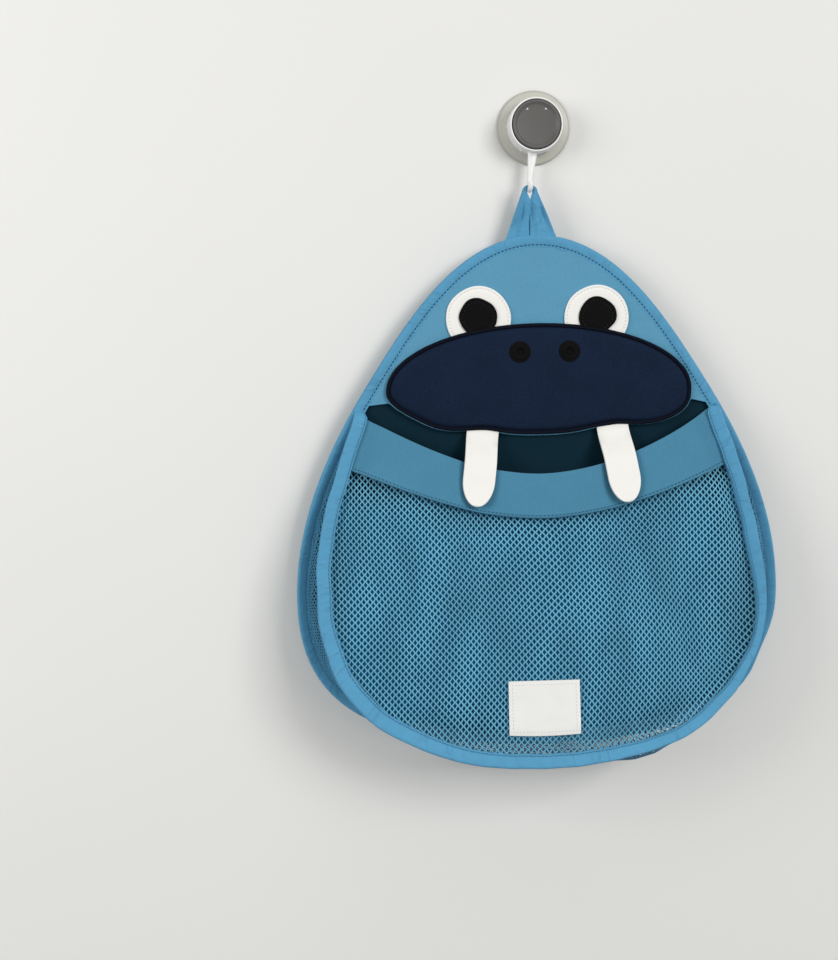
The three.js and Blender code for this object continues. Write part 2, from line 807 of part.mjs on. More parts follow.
function buildHook() {
  const hook = new THREE.Group();
  hook.add(
    piece('suction_cup', suctionCup(), 'clearCup'),
    piece('cup_stud', cupStud(), 'stud'),
    piece('hook_body', hookBody(), 'whitePlastic'),
    piece('twist_knob', twistKnob(), 'greyPlastic'),
  );
  return hook;
}

function buildLoop() {
  const loop = new THREE.Group();
  loop.position.set(hookRodShift, loopPlane, -hookRodDrop);
  loop.add(piece('hanging_loop', hangingLoop(), 'blueTape'));
  return loop;
}

function sewnLabel() {
  const top = acrossLine(labelWidth / 2, () => labelHeight, 1);
  const bottom = acrossLine(labelWidth / 2, () => 0, 1);
  return plate([...top, ...bottom.reverse()], labelCloth);
}

function buildFront() {
  const front = new THREE.Group();
  front.position.set(0, bindingFront - clearance - frontHalfThickness, -mouthDrop);
  front.rotation.x = -THREE.MathUtils.degToRad(pocketTilt);
  front.updateMatrix();
  const binding = foldedTape(frontOutline, -frontHalfThickness, frontHalfThickness, false);
  const labelPlace = [labelShift, -meshCloth / 2 - clearance, labelRise - frontHeight];
  front.add(
    piece('lip_band', lipBand(), 'blueNeoprene', [0, neoprene / 2, 0]),
    piece('front_mesh', frontNet(), 'blueMesh', [0, meshCloth / 2, 0]),
    piece('front_binding', binding, 'blueTape'),
    piece('sewn_label', sewnLabel(), 'labelCloth', labelPlace),
  );
  return front;
}

function buildFace(frontMatrix) {
  const face = new THREE.Group();
  [['left', -1], ['right', 1]].forEach(([name, side]) => {
    const eye = faceDisc(eyeDiameter, eyeSpacing, eyeDrop, side);
    const pupil = faceDisc(pupilDiameter, pupilSpacing, pupilDrop, side);
    const nostrilX = nostrilShift + side * nostrilSpacing / 2;
    const nostrilPlace = [nostrilX, faceBack + nostrilBase - clearance, -nostrilDrop];
    const tuskPlace = tuskHinge(side).toArray();
    face.add(
      piece(`eye_white_${name}`, eye, 'whiteFelt', [0, faceBack, 0]),
      piece(`pupil_${name}`, pupil, 'blackFelt', [0, eyeFront - clearance, 0]),
      piece(`nostril_${name}`, nostril(), 'blackFelt', nostrilPlace),
      piece(`tusk_${name}`, tusk(side, frontMatrix), 'whiteFelt', tuskPlace),
    );
  });
  face.add(
    piece('muzzle', muzzle(), 'navyNeoprene', [0, faceBack, 0]),
    piece('muzzle_piping', muzzlePiping(), 'blackPiping', [0, faceBack - pipingDiameter / 2, 0]),
  );
  return face;
}

function buildBag() {
  const bag = new THREE.Group();
  bag.position.set(0, loopPlane - bindingFront / 2, -bagTopDrop);
  const front = buildFront();
  bag.add(
    piece('back_panel', backPanel(), 'blueNeoprene', [0, backPanelBack, 0]),
    piece('back_binding', foldedTape(backLoop, bindingFront, 0, true), 'blueTape'),
    piece('head_panel', headPanel(), 'blueNeoprene', [0, headBack, 0]),
    piece('gusset_mesh', gusset(front.matrix), 'blueMesh'),
    front,
    buildFace(front.matrix),
  );
  return bag;
}

const organizer = new THREE.Group();
organizer.add(buildHook(), buildLoop(), buildBag());

export default organizer;
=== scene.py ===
import json
import math

import bpy
from bpy.props import FloatProperty, FloatVectorProperty, PointerProperty
from mathutils import Matrix, Vector, noise


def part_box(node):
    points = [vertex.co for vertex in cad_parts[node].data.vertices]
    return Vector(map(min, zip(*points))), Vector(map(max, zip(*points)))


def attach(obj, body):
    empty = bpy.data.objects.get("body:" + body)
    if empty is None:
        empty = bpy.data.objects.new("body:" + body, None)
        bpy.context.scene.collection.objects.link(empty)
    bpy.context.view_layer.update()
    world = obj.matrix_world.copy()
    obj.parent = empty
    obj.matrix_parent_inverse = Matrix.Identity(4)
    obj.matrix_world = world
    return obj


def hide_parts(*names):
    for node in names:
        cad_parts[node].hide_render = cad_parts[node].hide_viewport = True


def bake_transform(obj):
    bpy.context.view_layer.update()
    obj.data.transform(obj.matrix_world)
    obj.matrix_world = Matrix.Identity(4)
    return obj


bl_info = {
    "name": "Bath Toy Organizer",
    "version": (1, 0, 0),
    "blender": (4, 5, 0),
    "location": "View3D > Sidebar > Organizer",
    "description": "Dresses the packed organizer: sewn bag, mesh pocket, felt face and suction hook",
    "category": "Object",
}

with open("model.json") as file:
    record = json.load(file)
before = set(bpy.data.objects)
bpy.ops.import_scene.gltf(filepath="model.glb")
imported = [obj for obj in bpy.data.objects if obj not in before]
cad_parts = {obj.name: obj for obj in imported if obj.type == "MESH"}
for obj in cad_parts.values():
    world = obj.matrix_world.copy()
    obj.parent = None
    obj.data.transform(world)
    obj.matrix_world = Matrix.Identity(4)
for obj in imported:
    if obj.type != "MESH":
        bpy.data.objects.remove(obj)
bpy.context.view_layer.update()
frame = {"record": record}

MM = 0.001
# A length too small to see, which keeps divisions from failing.
HAIR = 1e-6

# Levels in front of the wall and heights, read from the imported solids.
BACK_LOW, BACK_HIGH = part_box("back_panel")
HEAD_LOW, HEAD_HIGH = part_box("head_panel")
TAPE_LOW, TAPE_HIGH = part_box("back_binding")
MUZZLE_LOW, MUZZLE_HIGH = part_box("muzzle_piping")
LOOP_LOW, LOOP_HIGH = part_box("hanging_loop")
CUP_LOW, CUP_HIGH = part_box("suction_cup")
HOOK_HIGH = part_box("hook_body")[1]
KNOB_LOW, KNOB_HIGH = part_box("twist_knob")
BAG_TOP = TAPE_HIGH.z
FACE_Y = MUZZLE_HIGH.y

# The bag's outline: its widest place and its shoulder, with the pull of the curve at each.
WIDEST_DROP = 259.6 * MM
SHOULDER = Vector((123.7, -106.6)) * MM
SHOULDER_LEAN = math.radians(32.4)
CROWN_PULL = 55 * MM
SHOULDER_PULL_UP = 60 * MM
SHOULDER_PULL_DOWN = 62 * MM
FLANK_PULL = 51 * MM
HIP_PULL = 80 * MM
BASE_PULL = 120 * MM
# The right hip is drawn in a little: how far down, over what length and how far.
HIP_DENT_DROP = 304 * MM
HIP_DENT_REACH = 20 * MM
HIP_DENT_DEPTH = 3.6 * MM

# The pocket front leans out from the mouth corners.
POCKET_TILT = math.radians(12)
POCKET_Y = -20.15 * MM
POCKET_Z = BAG_TOP - 125.6 * MM
POCKET_HEIGHT = 250.5 * MM
POCKET_WIDEST_DROP = 126 * MM
POCKET_NARROWING = 16.5 * MM
MOUTH_CORNER_INSET = 3 * MM
CORNER_LEAN = math.radians(16.7)
CORNER_PULL = 46 * MM
POCKET_FLANK_PULL = 47 * MM
POCKET_HIP_PULL = 81 * MM
POCKET_BASE_PULL = 83 * MM
POCKET_HALF_THICK = 2.3 * MM
# How steeply the front binding leans inwards on each side.
POCKET_CUP_LEFT = 0.25
POCKET_CUP_RIGHT = 0.42
# Where the lining is painted darker, as painted shade of the mouth: between two drops below the mouth
# corners, and between two half widths.
LINING_SHADE_DROPS = (72 * MM, 42 * MM)
LINING_SHADE_SIDES = (134 * MM, 158 * MM)

# Where the head's lower edge meets the binding on each side.
HEAD_DROP_LEFT = 122.6 * MM
HEAD_DROP_RIGHT = 124.2 * MM

# The lip band under the mouth.
LIP_TOP_HALF = 126 * MM
LIP_TOP_START = -1 * MM
LIP_TOP_SAG = 44 * MM
LIP_RIGHT_PULL = 4 * MM
LIP_FOOT_HALF = 139 * MM
LIP_FOOT_START = -36.5 * MM
LIP_FOOT_SAG = 40 * MM
LIP_CURVE = 1.75

# The face.
EYE_DIAMETER = 46.6 * MM
EYE_SPACING = 84.6 * MM
EYE_DROP = 58.8 * MM
EYE_FELT = 1.6 * MM
PUPIL_DIAMETER = 26.8 * MM
PUPIL_SPACING = 85.6 * MM
PUPIL_DROP = 57.2 * MM
MUZZLE_DROP = 109.6 * MM
MUZZLE_SHIFT = 1 * MM
MUZZLE_RISE = 47.5 * MM
MUZZLE_FALL = 31.8 * MM
MUZZLE_FULLNESS_LEFT = 2.0
MUZZLE_FULLNESS_RIGHT = 2.85
# Where the muzzle's lower edge is drawn up or hangs down: x, reach and rise.
MUZZLE_SWELLS = ((52 * MM, 23 * MM, 4.8 * MM), (-38 * MM, 12 * MM, 1.7 * MM),
                 (-72 * MM, 17 * MM, -3 * MM))
PIPING_RADIUS = 1.4 * MM
NOSTRIL_RADIUS = 8 * MM
NOSTRIL_SPACING = 35.4 * MM
NOSTRIL_SHIFT = 4.3 * MM
NOSTRIL_DROP = 82.6 * MM
TUSK_WIDTH = 23 * MM
TUSK_FELT = 2.4 * MM
TUSK_ROUND_END = 18.5 * MM
TUSK_TUCK = 6 * MM
TUSK_SPLAY = math.radians(8)

# The hook, turned a little on the wall, and its curl, in which the loop hangs.
HOOK_TURN = Matrix.Rotation(math.radians(6), 3, "Y")
CURL_Y = -14 * MM
CURL_Z = -41.25 * MM
CURL_RADIUS = 4 * MM
ROD_RADIUS = 1.9 * MM

# The left and right of a pair, with the way along x.
SIDES = (("left", -1), ("right", 1))

# Where the joints turn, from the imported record.
JOINTS = {joint["name"]: Vector(joint["pos_m"])
          for joint in frame["record"]["behaviour"]["joints"] if "pos_m" in joint}

# The photograph's frame and the camera that took it.
IMAGE_HEIGHT = 960
FOCAL_PIXELS = 1300
CAMERA_PLACE = Vector((-132.744, -944.682, -149.426)) * MM
CAMERA_RIGHT = Vector((0.99856, -0.05159, -0.01504))
CAMERA_UP = Vector((0.02045, 0.10593, 0.99416))


def srgb(red, green, blue):
    """A screen colour, from 0 to 255, as the linear colour that a shader takes."""
    def linear(value):
        value /= 255
        return value / 12.92 if value <= 0.04045 else ((value + 0.055) / 1.055) ** 2.4
    return (linear(red), linear(green), linear(blue))


def colour_property(name, description, default):
    return FloatVectorProperty(name=name, description=description, default=default,
                               subtype="COLOR", size=3, min=0, max=1)


def length_property(name, description, default):
    return FloatProperty(name=name, description=description, default=default,
                         unit="LENGTH", precision=4, min=0)


class OrganizerSizes(bpy.types.PropertyGroup):
    """Sizes of the cloth, the mesh and the sewing."""

    bag_width: length_property("Bag width", "Width over the back binding",
                               TAPE_HIGH.x - TAPE_LOW.x)
    bag_height: length_property("Bag height", "Height over the back binding",
                                TAPE_HIGH.z - TAPE_LOW.z)
    muzzle_width: length_property("Muzzle width", "Width over the piping",
                                  MUZZLE_HIGH.x - MUZZLE_LOW.x)
    back_tape: length_property("Back binding", "Width of tape that shows on the head", 8.6 * MM)
    front_tape: length_property("Front binding", "Width of tape that shows on the pocket", 9.2 * MM)
    mesh_across: length_property("Mesh pitch across", "From one hole to the next in a row", 4.3 * MM)
    mesh_down: length_property("Mesh pitch down", "From one hole to the next in a column", 4.8 * MM)
    hole_width: length_property("Hole width", "Width of one hole in the mesh", 2.4 * MM)
    hole_height: length_property("Hole height", "Height of one hole in the mesh", 3.8 * MM)
    yarn_thickness: length_property("Yarn thickness", "Depth of the mesh yarn", 0.9 * MM)
    belly: length_property("Pocket belly", "How far the pocket front swells", 6 * MM)
    stitch_pitch: length_property("Stitch pitch", "From one stitch to the next", 2.8 * MM)
    stitch_length: length_property("Stitch length", "Length of thread that shows", 1.7 * MM)
    thread: length_property("Thread", "Diameter of the sewing thread", 0.9 * MM)


class OrganizerColours(bpy.types.PropertyGroup):
    """Colours of the cloth, the felt and the hook."""

    binding: colour_property("Binding", "Folded tape and hanging loop", srgb(86, 155, 192))
    neoprene: colour_property("Neoprene", "Head and back", srgb(90, 151, 181))
    # The lip is the neoprene darkened, as painted shade over the band.
    lip: colour_property("Lip", "Band under the mouth", srgb(72, 131, 159))
    # Mouth is painted shade: the lining's colour where the mouth's shade falls on it.
    mouth: colour_property("Mouth", "Lining behind the mouth", srgb(11, 40, 52))
    lining: colour_property("Lining", "Inside of the back", srgb(14, 98, 138))
    yarn: colour_property("Yarn", "Mesh of the pocket", srgb(118, 192, 223))
    # The gusset's yarn is the pocket's yarn darkened, as painted shade where the pocket shades it.
    gusset: colour_property("Gusset", "Mesh of the pocket's sides", srgb(76, 144, 180))
    navy: colour_property("Muzzle", "Padded muzzle", srgb(20, 33, 55))
    piping: colour_property("Piping", "Piping round the muzzle", srgb(14, 17, 29))
    white_felt: colour_property("White felt", "Eyes and tusks", srgb(241, 239, 233))
    black_felt: colour_property("Black felt", "Pupils and nostrils", srgb(15, 15, 16))
    label: colour_property("Label", "Bare woven label", srgb(243, 242, 238))
    # Stitching is darker than the real thread: partly the thread's own colour, partly painted shade of
    # the sunk stitches.
    stitching: colour_property("Stitching", "Thread on the blue cloth", srgb(18, 62, 90))
    hook: colour_property("Hook", "Moulded ring and arm", srgb(243, 243, 240))
    knob: colour_property("Knob", "Turning knob", srgb(92, 90, 87))
    cup: colour_property("Cup", "Soft suction cup", srgb(196, 194, 183))
    wall: colour_property("Wall", "Backdrop and floor", srgb(231, 230, 226))


# Shader nodes


class Signal:
    """A value in a material's nodes; arithmetic on it adds Math nodes."""

    def __init__(self, tree, socket=None):
        self.tree = tree
        self.socket = socket

    def node(self, kind, settings=(), sockets=(), output=0):
        """Add a node: its settings first, then the values or links of its sockets."""
        node = self.tree.nodes.new(kind)
        for name, value in dict(settings).items():
            setattr(node, name, value)
        for name, value in dict(sockets).items():
            if isinstance(value, Signal):
                self.tree.links.new(value.socket, node.inputs[name])
            else:
                node.inputs[name].default_value = value
        return Signal(self.tree, node.outputs[output])

    def math(self, operation, *values):
        return self.node("ShaderNodeMath", {"operation": operation}, dict(enumerate(values)))

    def __add__(self, other):
        return self.math("ADD", self, other)

    __radd__ = __add__

    def __sub__(self, other):
        return self.math("SUBTRACT", self, other)

    def __rsub__(self, other):
        return self.math("SUBTRACT", other, self)

    def __mul__(self, other):
        return self.math("MULTIPLY", self, other)

    __rmul__ = __mul__

    def place(self, output="Object"):
        return self.node("ShaderNodeTexCoord", output=output)

    def part(self, axis):
        return self.node("ShaderNodeSeparateXYZ", sockets={0: self}, output=axis)

    def off_axis(self):
        """How far this place lies from the hook's axis, which runs into the wall."""
        across, up = self.part(0), self.part(2)
        return self.math("SQRT", across * across + up * up)

    def wave(self, pitch):
        """A sine of this length, from -1 to 1, repeating every pitch."""
        return self.math("SINE", self * (math.tau / pitch))

    def speckle(self, size, detail=2.0, roughness=0.5):
        """Noise from 0 to 1 whose grains are about this size, at this place."""
        return self.node("ShaderNodeTexNoise", sockets={
            "Vector": self, "Scale": 1 / size, "Detail": detail, "Roughness": roughness})

    def drawn_out(self, degrees, stretch):
        """This place turned and stretched, for marks that all lie one way."""
        return self.node("ShaderNodeMapping", {"vector_type": "TEXTURE"}, {
            "Vector": self, "Rotation": (0, 0, math.radians(degrees)), "Scale": (1, stretch, 1)})

    def between(self, dark, light):
        """A colour between two, by this value; each is a colour or a signal."""
        ends = [end if isinstance(end, Signal) else (*end, 1) for end in (dark, light)]
        return self.node("ShaderNodeMix", {"data_type": "RGBA"},
                         {0: self, 6: ends[0], 7: ends[1]}, output=2)

    def ramp(self, low, high):
        """This value drawn out smoothly, from 0 at low to 1 at high."""
        return self.node("ShaderNodeMapRange", {"interpolation_type": "SMOOTHSTEP"},
                         {"Value": self, "From Min": low, "From Max": high})

    def bump(self, depth, strength=1.0):
        return self.node("ShaderNodeBump", sockets={
            "Height": self, "Distance": depth, "Strength": strength})


def shade(colour, amount):
    """A colour made darker or lighter by a factor."""
    return tuple(min(1, value * amount) for value in colour)


def new_finish(name, constants):
    """A material, its root signal and its shader, with the sockets that stay the same all over."""
    material = bpy.data.materials.new(name)
    material.use_nodes = True
    shader = material.node_tree.nodes["Principled BSDF"]
    for socket, value in constants.items():
        shader.inputs[socket].default_value = value
    return material, Signal(material.node_tree), shader


def feed(shader, **signals):
    """Link signals to the shader's sockets, named with _ for a space."""
    for socket, signal in signals.items():
        signal.tree.links.new(signal.socket, shader.inputs[socket.replace("_", " ")])


def jersey(name, colour, contrast=0.2, sheen=0.06, gloss=0.2, grain_size=1 * MM, mouth=None):
    """Knit facing of neoprene: columns of small loops, a soft cloudy tone and a dull sheen.

    mouth is the colour of the painted shade on a lining, above the pocket and towards its sides.
    """
    material, root, shader = new_finish(name, {
        "Sheen Weight": sheen, "Sheen Roughness": 0.45, "Specular IOR Level": gloss})
    place = root.place()
    column = place.part(0).wave(1.1 * MM)
    loop = (place.part(2) + column * (0.25 * MM)).wave(0.9 * MM)
    knit = loop * 0.3 + column * 0.2
    grain = place.speckle(grain_size, 3)
    cloud = place.speckle(24 * MM, 3)
    tone = grain * 0.7 + cloud * 0.3 + knit * 0.12

    def toned_as(tone_colour):
        return tone.between(shade(tone_colour, 1 - contrast), shade(tone_colour, 1 + contrast))

    cloth = toned_as(colour)
    # Painted shade: the lining turns to the mouth colour above the pocket and towards its sides.
    if mouth:
        above = place.part(2).ramp(*(POCKET_Z - drop for drop in LINING_SHADE_DROPS))
        aside = root.math("ABSOLUTE", place.part(0)).ramp(*LINING_SHADE_SIDES)
        cloth = root.math("MAXIMUM", above, aside * 0.7).between(cloth, toned_as(mouth))
    feed(shader, Base_Color=cloth, Roughness=grain * 0.12 + 0.76,
         Normal=(knit + grain * 0.8).bump(0.12 * MM, 0.6))
    return material


def tape_cloth(name, colour, sheen=0.12, gloss=0.26):
    """Knit binding tape: fine ribs along it, puckers left by the sewing, and a few creases, with
    painted shade in the creases and in the puckers' hollows.
    """
    material, root, shader = new_finish(name, {
        "Sheen Weight": sheen, "Sheen Roughness": 0.4, "Specular IOR Level": gloss})
    strip = root.place("UV")
    place = root.place()
    rib = strip.part(1).wave(0.75 * MM)
    twill = (strip.part(0) + strip.part(1) * 0.6).wave(0.95 * MM)
    pucker = strip.drawn_out(35, 3).speckle(4 * MM, 2)
    crossing = strip.drawn_out(14, 2.4).speckle(11 * MM, 2)
    flat = root.math("ABSOLUTE", crossing - 0.5).ramp(0, 0.035)
    crease = (1 - flat) * place.speckle(13 * MM, 1).ramp(0.46, 0.62)
    cloud = place.speckle(30 * MM, 2)
    grain = place.speckle(0.7 * MM, 2)
    # Painted shade: darker in the creases and in the puckers' hollows, painted light on their raised
    # parts.
    tone = cloud * 0.5 + grain * 0.4 + pucker * 0.45 + rib * 0.05 - crease * 0.3 - 0.16
    relief = rib * 0.2 + twill * 0.2 + grain * 0.8 + pucker * 7 - crease * 2
    feed(shader,
         Base_Color=tone.between(shade(colour, 0.82), shade(colour, 1.16)),
         Roughness=grain * 0.14 + 0.68,
         Normal=relief.bump(0.16 * MM, 0.7))
    return material


def felt(name, colour, contrast=0.05, sheen=0.1):
    """Pressed felt: matted fibres with no direction."""
    material, root, shader = new_finish(name, {
        "Sheen Weight": sheen, "Sheen Roughness": 0.6, "Specular IOR Level": 0.06})
    place = root.place()
    fibre = place.node("ShaderNodeTexNoise", sockets={
        "Vector": place, "Scale": 1 / (0.9 * MM), "Detail": 4.0, "Roughness": 0.65,
        "Distortion": 1.6})
    cloud = place.speckle(9 * MM, 2)
    tone = fibre * 0.7 + cloud * 0.4 - 0.05
    feed(shader,
         Base_Color=tone.between(shade(colour, 1 - contrast), shade(colour, 1 + contrast)),
         Roughness=fibre * 0.1 + 0.86,
         Normal=(fibre + cloud * 0.6).bump(0.18 * MM, 0.5))
    return material


def yarn(name, colour):
    """Twisted yarn of the mesh, with a painted highlight along its ridges and painted shade at its
    sides.
    """
    material, root, shader = new_finish(name, {
        "Sheen Weight": 0.02, "Sheen Roughness": 0.4, "Specular IOR Level": 0.2})
    place = root.place()
    ridge = root.node("ShaderNodeAttribute", {"attribute_name": "ridge"}, output="Fac")
    twist = (place.part(0) + place.part(2)).wave(0.8 * MM)
    # Painted shade of the net's folds: soft bands of tone, drawn out down the net.
    hanging = root.node("ShaderNodeMapping", sockets={"Vector": place, "Scale": (1, 1, 0.35)})
    fold_shade_bands = hanging.speckle(22 * MM, 2)
    grain = place.speckle(0.6 * MM, 2)
    # Painted highlight along each ridge and painted shade at the yarn's sides, from the ridge
    # attribute.
    tone = ridge * ridge * 0.75 + fold_shade_bands * 0.8 + grain * 0.15 + twist * 0.05 - 0.37
    feed(shader,
         Base_Color=tone.between(shade(colour, 0.42), shade(colour, 1.15)),
         Roughness=grain * 0.15 + 0.55,
         Normal=(twist * 0.5 + grain).bump(0.1 * MM, 0.4))
    return material


def sewing_thread(name, colour):
    """Sewing thread with its twist."""
    material, root, shader = new_finish(name, {"Specular IOR Level": 0.3})
    place = root.place()
    twist = (place.part(0) + place.part(2)).wave(0.5 * MM)
    grain = place.speckle(0.5 * MM, 2)
    feed(shader,
         Base_Color=(grain + twist * 0.2).between(shade(colour, 0.75), shade(colour, 1.2)),
         Roughness=grain * 0.2 + 0.5,
         Normal=twist.bump(0.06 * MM, 0.5))
    return material


def label_cloth(name, colour):
    """Woven label: warp and weft, slightly uneven."""
    material, root, shader = new_finish(name, {"Sheen Weight": 0.08, "Specular IOR Level": 0.25})
    place = root.place()
    warp = place.part(0).wave(0.55 * MM)
    weft = place.part(2).wave(0.5 * MM)
    cloud = place.speckle(12 * MM, 2)
    tone = warp * weft * 0.25 + cloud * 0.7 + 0.1
    feed(shader,
         Base_Color=tone.between(shade(colour, 0.93), shade(colour, 1.04)),
         Roughness=cloud * 0.1 + 0.72,
         Normal=(warp * weft + cloud).bump(0.08 * MM, 0.5))
    return material


def moulded(name, colour, gloss, grain_size, turned=None):
    """Moulded plastic with a fine grain and a trace of handling.

    turned is the pitch of the faint rings that a lathe leaves round the hook's axis.
    """
    material, root, shader = new_finish(name, {"Specular IOR Level": 0.45, "Coat Roughness": 0.2})
    place = root.place()
    grain = place.speckle(grain_size, 3)
    cloud = place.speckle(11 * MM, 3)
    tone = grain * 0.4 + cloud * 0.6
    if turned:
        tone = tone + place.off_axis().wave(turned) * cloud * 0.6
    feed(shader,
         Base_Color=tone.between(shade(colour, 0.94), shade(colour, 1.05)),
         Roughness=cloud * 0.14 + gloss,
         Normal=(grain + cloud * 2).bump(0.05 * MM, 0.25))
    return material


def soft_cup(name, colour, rim_radius):
    """Soft translucent cup: clearer and darker at its thin rim, cloudy inside."""
    material, root, shader = new_finish(name, {
        "Specular IOR Level": 0.45, "Transmission Weight": 0.12, "IOR": 1.5})
    place = root.place()
    rim = place.off_axis().ramp(rim_radius - 1.8 * MM, rim_radius - 0.2 * MM)
    cloud = place.speckle(9 * MM, 3)
    tone = 0.85 - rim * 0.7 + cloud * 0.3
    feed(shader,
         Base_Color=tone.between(shade(colour, 0.72), shade(colour, 1.08)),
         Roughness=cloud * 0.16 + 0.3,
         Normal=cloud.bump(0.12 * MM, 0.4))
    return material


def backdrop_paint(name, colour):
    """Pale wall and floor, seen from the room side only, by the camera and in reflections."""
    material, root, shader = new_finish(name, {"Roughness": 0.9, "Specular IOR Level": 0.1})
    place = root.place()
    cloud = place.speckle(300 * MM, 2)
    feed(shader, Base_Color=cloud.between(shade(colour, 0.98), shade(colour, 1.02)))
    behind = root.node("ShaderNodeNewGeometry", output="Backfacing")
    camera = root.node("ShaderNodeLightPath", output="Is Camera Ray")
    glossy = root.node("ShaderNodeLightPath", output="Is Glossy Ray")
    through = root.node("ShaderNodeLightPath", output="Is Transmission Ray")
    seen = root.math("MINIMUM", camera + glossy + through, 1.0)
    clear = root.node("ShaderNodeBsdfTransparent")
    mixed = root.node("ShaderNodeMixShader", sockets={
        0: seen * (1 - behind), 1: clear, 2: Signal(root.tree, shader.outputs[0])})
    root.tree.links.new(mixed.socket, root.tree.nodes["Material Output"].inputs["Surface"])
    return material


# Each finish is made once, when the first piece asks for it.
FINISHES = {
    "binding_tape": lambda name, c: tape_cloth(name, c.binding),
    "neoprene_jersey": lambda name, c: jersey(name, c.neoprene),
    # The lining's finish carries painted shade towards the mouth and towards the pocket's sides.
    "lining_jersey": lambda name, c: jersey(name, c.lining, 0.1, 0.01, 0.08, mouth=c.mouth),
    "muzzle_jersey": lambda name, c: jersey(name, c.navy, 0.6, 0.01, 0.08, 1.3 * MM),
    # Painted shade: the lip band's jersey is the neoprene made darker.
    "lip_jersey": lambda name, c: jersey(name, c.lip),
    "mesh_yarn": lambda name, c: yarn(name, c.yarn),
    # Painted shade: the gusset's yarn is darker than the front's.
    "gusset_yarn": lambda name, c: yarn(name, c.gusset),
    "piping_tape": lambda name, c: tape_cloth(name, c.piping, 0.0, 0.06),
    "white_felt": lambda name, c: felt(name, c.white_felt),
    "black_felt": lambda name, c: felt(name, c.black_felt, 0.3, sheen=0.01),
    "label_weave": lambda name, c: label_cloth(name, c.label),
    # Painted shade: both blue threads are darker than the cloth, partly for the shadow of the sunk
    # stitches.
    "blue_thread": lambda name, c: sewing_thread(name, c.stitching),
    "tape_thread": lambda name, c: sewing_thread(name, shade(c.binding, 0.64)),
    "white_thread": lambda name, c: sewing_thread(name, shade(c.white_felt, 0.72)),
    "dark_thread": lambda name, c: sewing_thread(name, shade(c.black_felt, 5)),
    "pale_thread": lambda name, c: sewing_thread(name, shade(c.yarn, 1.25)),
    "hook_plastic": lambda name, c: moulded(name, c.hook, 0.26, 0.9 * MM),
    "knob_plastic": lambda name, c: moulded(name, c.knob, 0.36, 0.5 * MM, 1.3 * MM),
    "mark_paint": lambda name, c: moulded(name, shade(c.hook, 0.9), 0.5, 0.5 * MM),
    "cup_plastic": lambda name, c: soft_cup(name, c.cup, CUP_HIGH.x),
    "backdrop": lambda name, c: backdrop_paint(name, c.wall),
}


def finish(context, name):
    material = bpy.data.materials.get(name)
    return material or FINISHES[name](name, context.scene.organizer_colours)


# Lines in the plane of the cloth


def cubic(start, leave, arrive, end, steps=40):
    """Points along a cubic curve, without its end."""
    line = []
    for step in range(steps):
        t = step / steps
        s = 1 - t
        line.append(start * s ** 3 + leave * (3 * s * s * t) + arrive * (3 * s * t * t)
                    + end * t ** 3)
    return line


def lean(angle, length):
    """A step down the cloth that leans outwards by this angle."""
    return Vector((math.sin(angle), -math.cos(angle))) * length


def mirrored(line):
    return [Vector((-point.x, point.y)) for point in reversed(line)]


def spread(line, count, closed):
    """The same line with this many points, evenly spaced."""
    line = line + line[:1] if closed else line
    reach = [0.0]
    for start, end in zip(line, line[1:]):
        reach.append(reach[-1] + (end - start).length)
    gaps = count if closed else count - 1
    even = []
    segment = 0
    for index in range(count):
        target = reach[-1] * index / gaps
        while segment < len(line) - 2 and reach[segment + 1] < target:
            segment += 1
        share = (target - reach[segment]) / max(reach[segment + 1] - reach[segment], 1e-12)
        even.append(line[segment].lerp(line[segment + 1], share))
    return even


def line_length(line, closed=False):
    line = line + line[:1] if closed else line
    return sum((end - start).length for start, end in zip(line, line[1:]))


def directions(line, closed):
    """The unit step along the line at each of its points."""
    last = len(line) - 1
    steps = []
    for index in range(len(line)):
        before = line[index - 1] if closed or index else line[0]
        after = line[(index + 1) % len(line)] if closed or index < last else line[-1]
        steps.append((after - before).normalized())
    return steps


def inward(line, closed):
    """The unit step to the right of each point, which is inwards on a clockwise line."""
    return [Vector((along.y, -along.x)) for along in directions(line, closed)]


def drawn_in(line, distance, closed=True):
    """The line moved inwards by a distance."""
    return [point + step * distance for point, step in zip(line, inward(line, closed))]


def ease(share):
    """A share held between 0 and 1, with soft ends."""
    share = min(1, max(0, share))
    return share * share * (3 - 2 * share)


def read_off(table, share):
    """A value from an even table, at a share of its length."""
    spot = min(max(share, 0), 1) * (len(table) - 1)
    low = min(int(spot), len(table) - 2)
    return table[low] + (table[low + 1] - table[low]) * (spot - low)


def area_of(line):
    total = 0.0
    for start, end in zip(line, line[1:] + line[:1]):
        total += start.x * end.y - end.x * start.y
    return abs(total) / 2


def back_edge(sizes):
    """Outer edge of the bag, clockwise from its top as seen from the room, x and height."""
    top = Vector((0, BAG_TOP))
    shoulder = SHOULDER + top
    widest = Vector((sizes.bag_width / 2, BAG_TOP - WIDEST_DROP))
    base = Vector((0, BAG_TOP - sizes.bag_height))
    right = cubic(top, top + Vector((CROWN_PULL, 0)),
                  shoulder - lean(SHOULDER_LEAN, SHOULDER_PULL_UP), shoulder)
    right += cubic(shoulder, shoulder + lean(SHOULDER_LEAN, SHOULDER_PULL_DOWN),
                   widest + Vector((0, FLANK_PULL)), widest)
    right += cubic(widest, widest - Vector((0, HIP_PULL)),
                   base + Vector((BASE_PULL, 0)), base)
    left = mirrored(right)[:-1]
    for point in right:
        point.x -= swell_at(BAG_TOP - point.y, HIP_DENT_DROP, HIP_DENT_REACH, HIP_DENT_DEPTH)
    return right + [base] + left


def half_width(line, height):
    """Half the width of a line that is drawn down its right side first."""
    for start, end in zip(line, line[1:]):
        if start.y >= height > end.y:
            share = (start.y - height) / (start.y - end.y)
            return start.lerp(end, share).x
    return 0.0


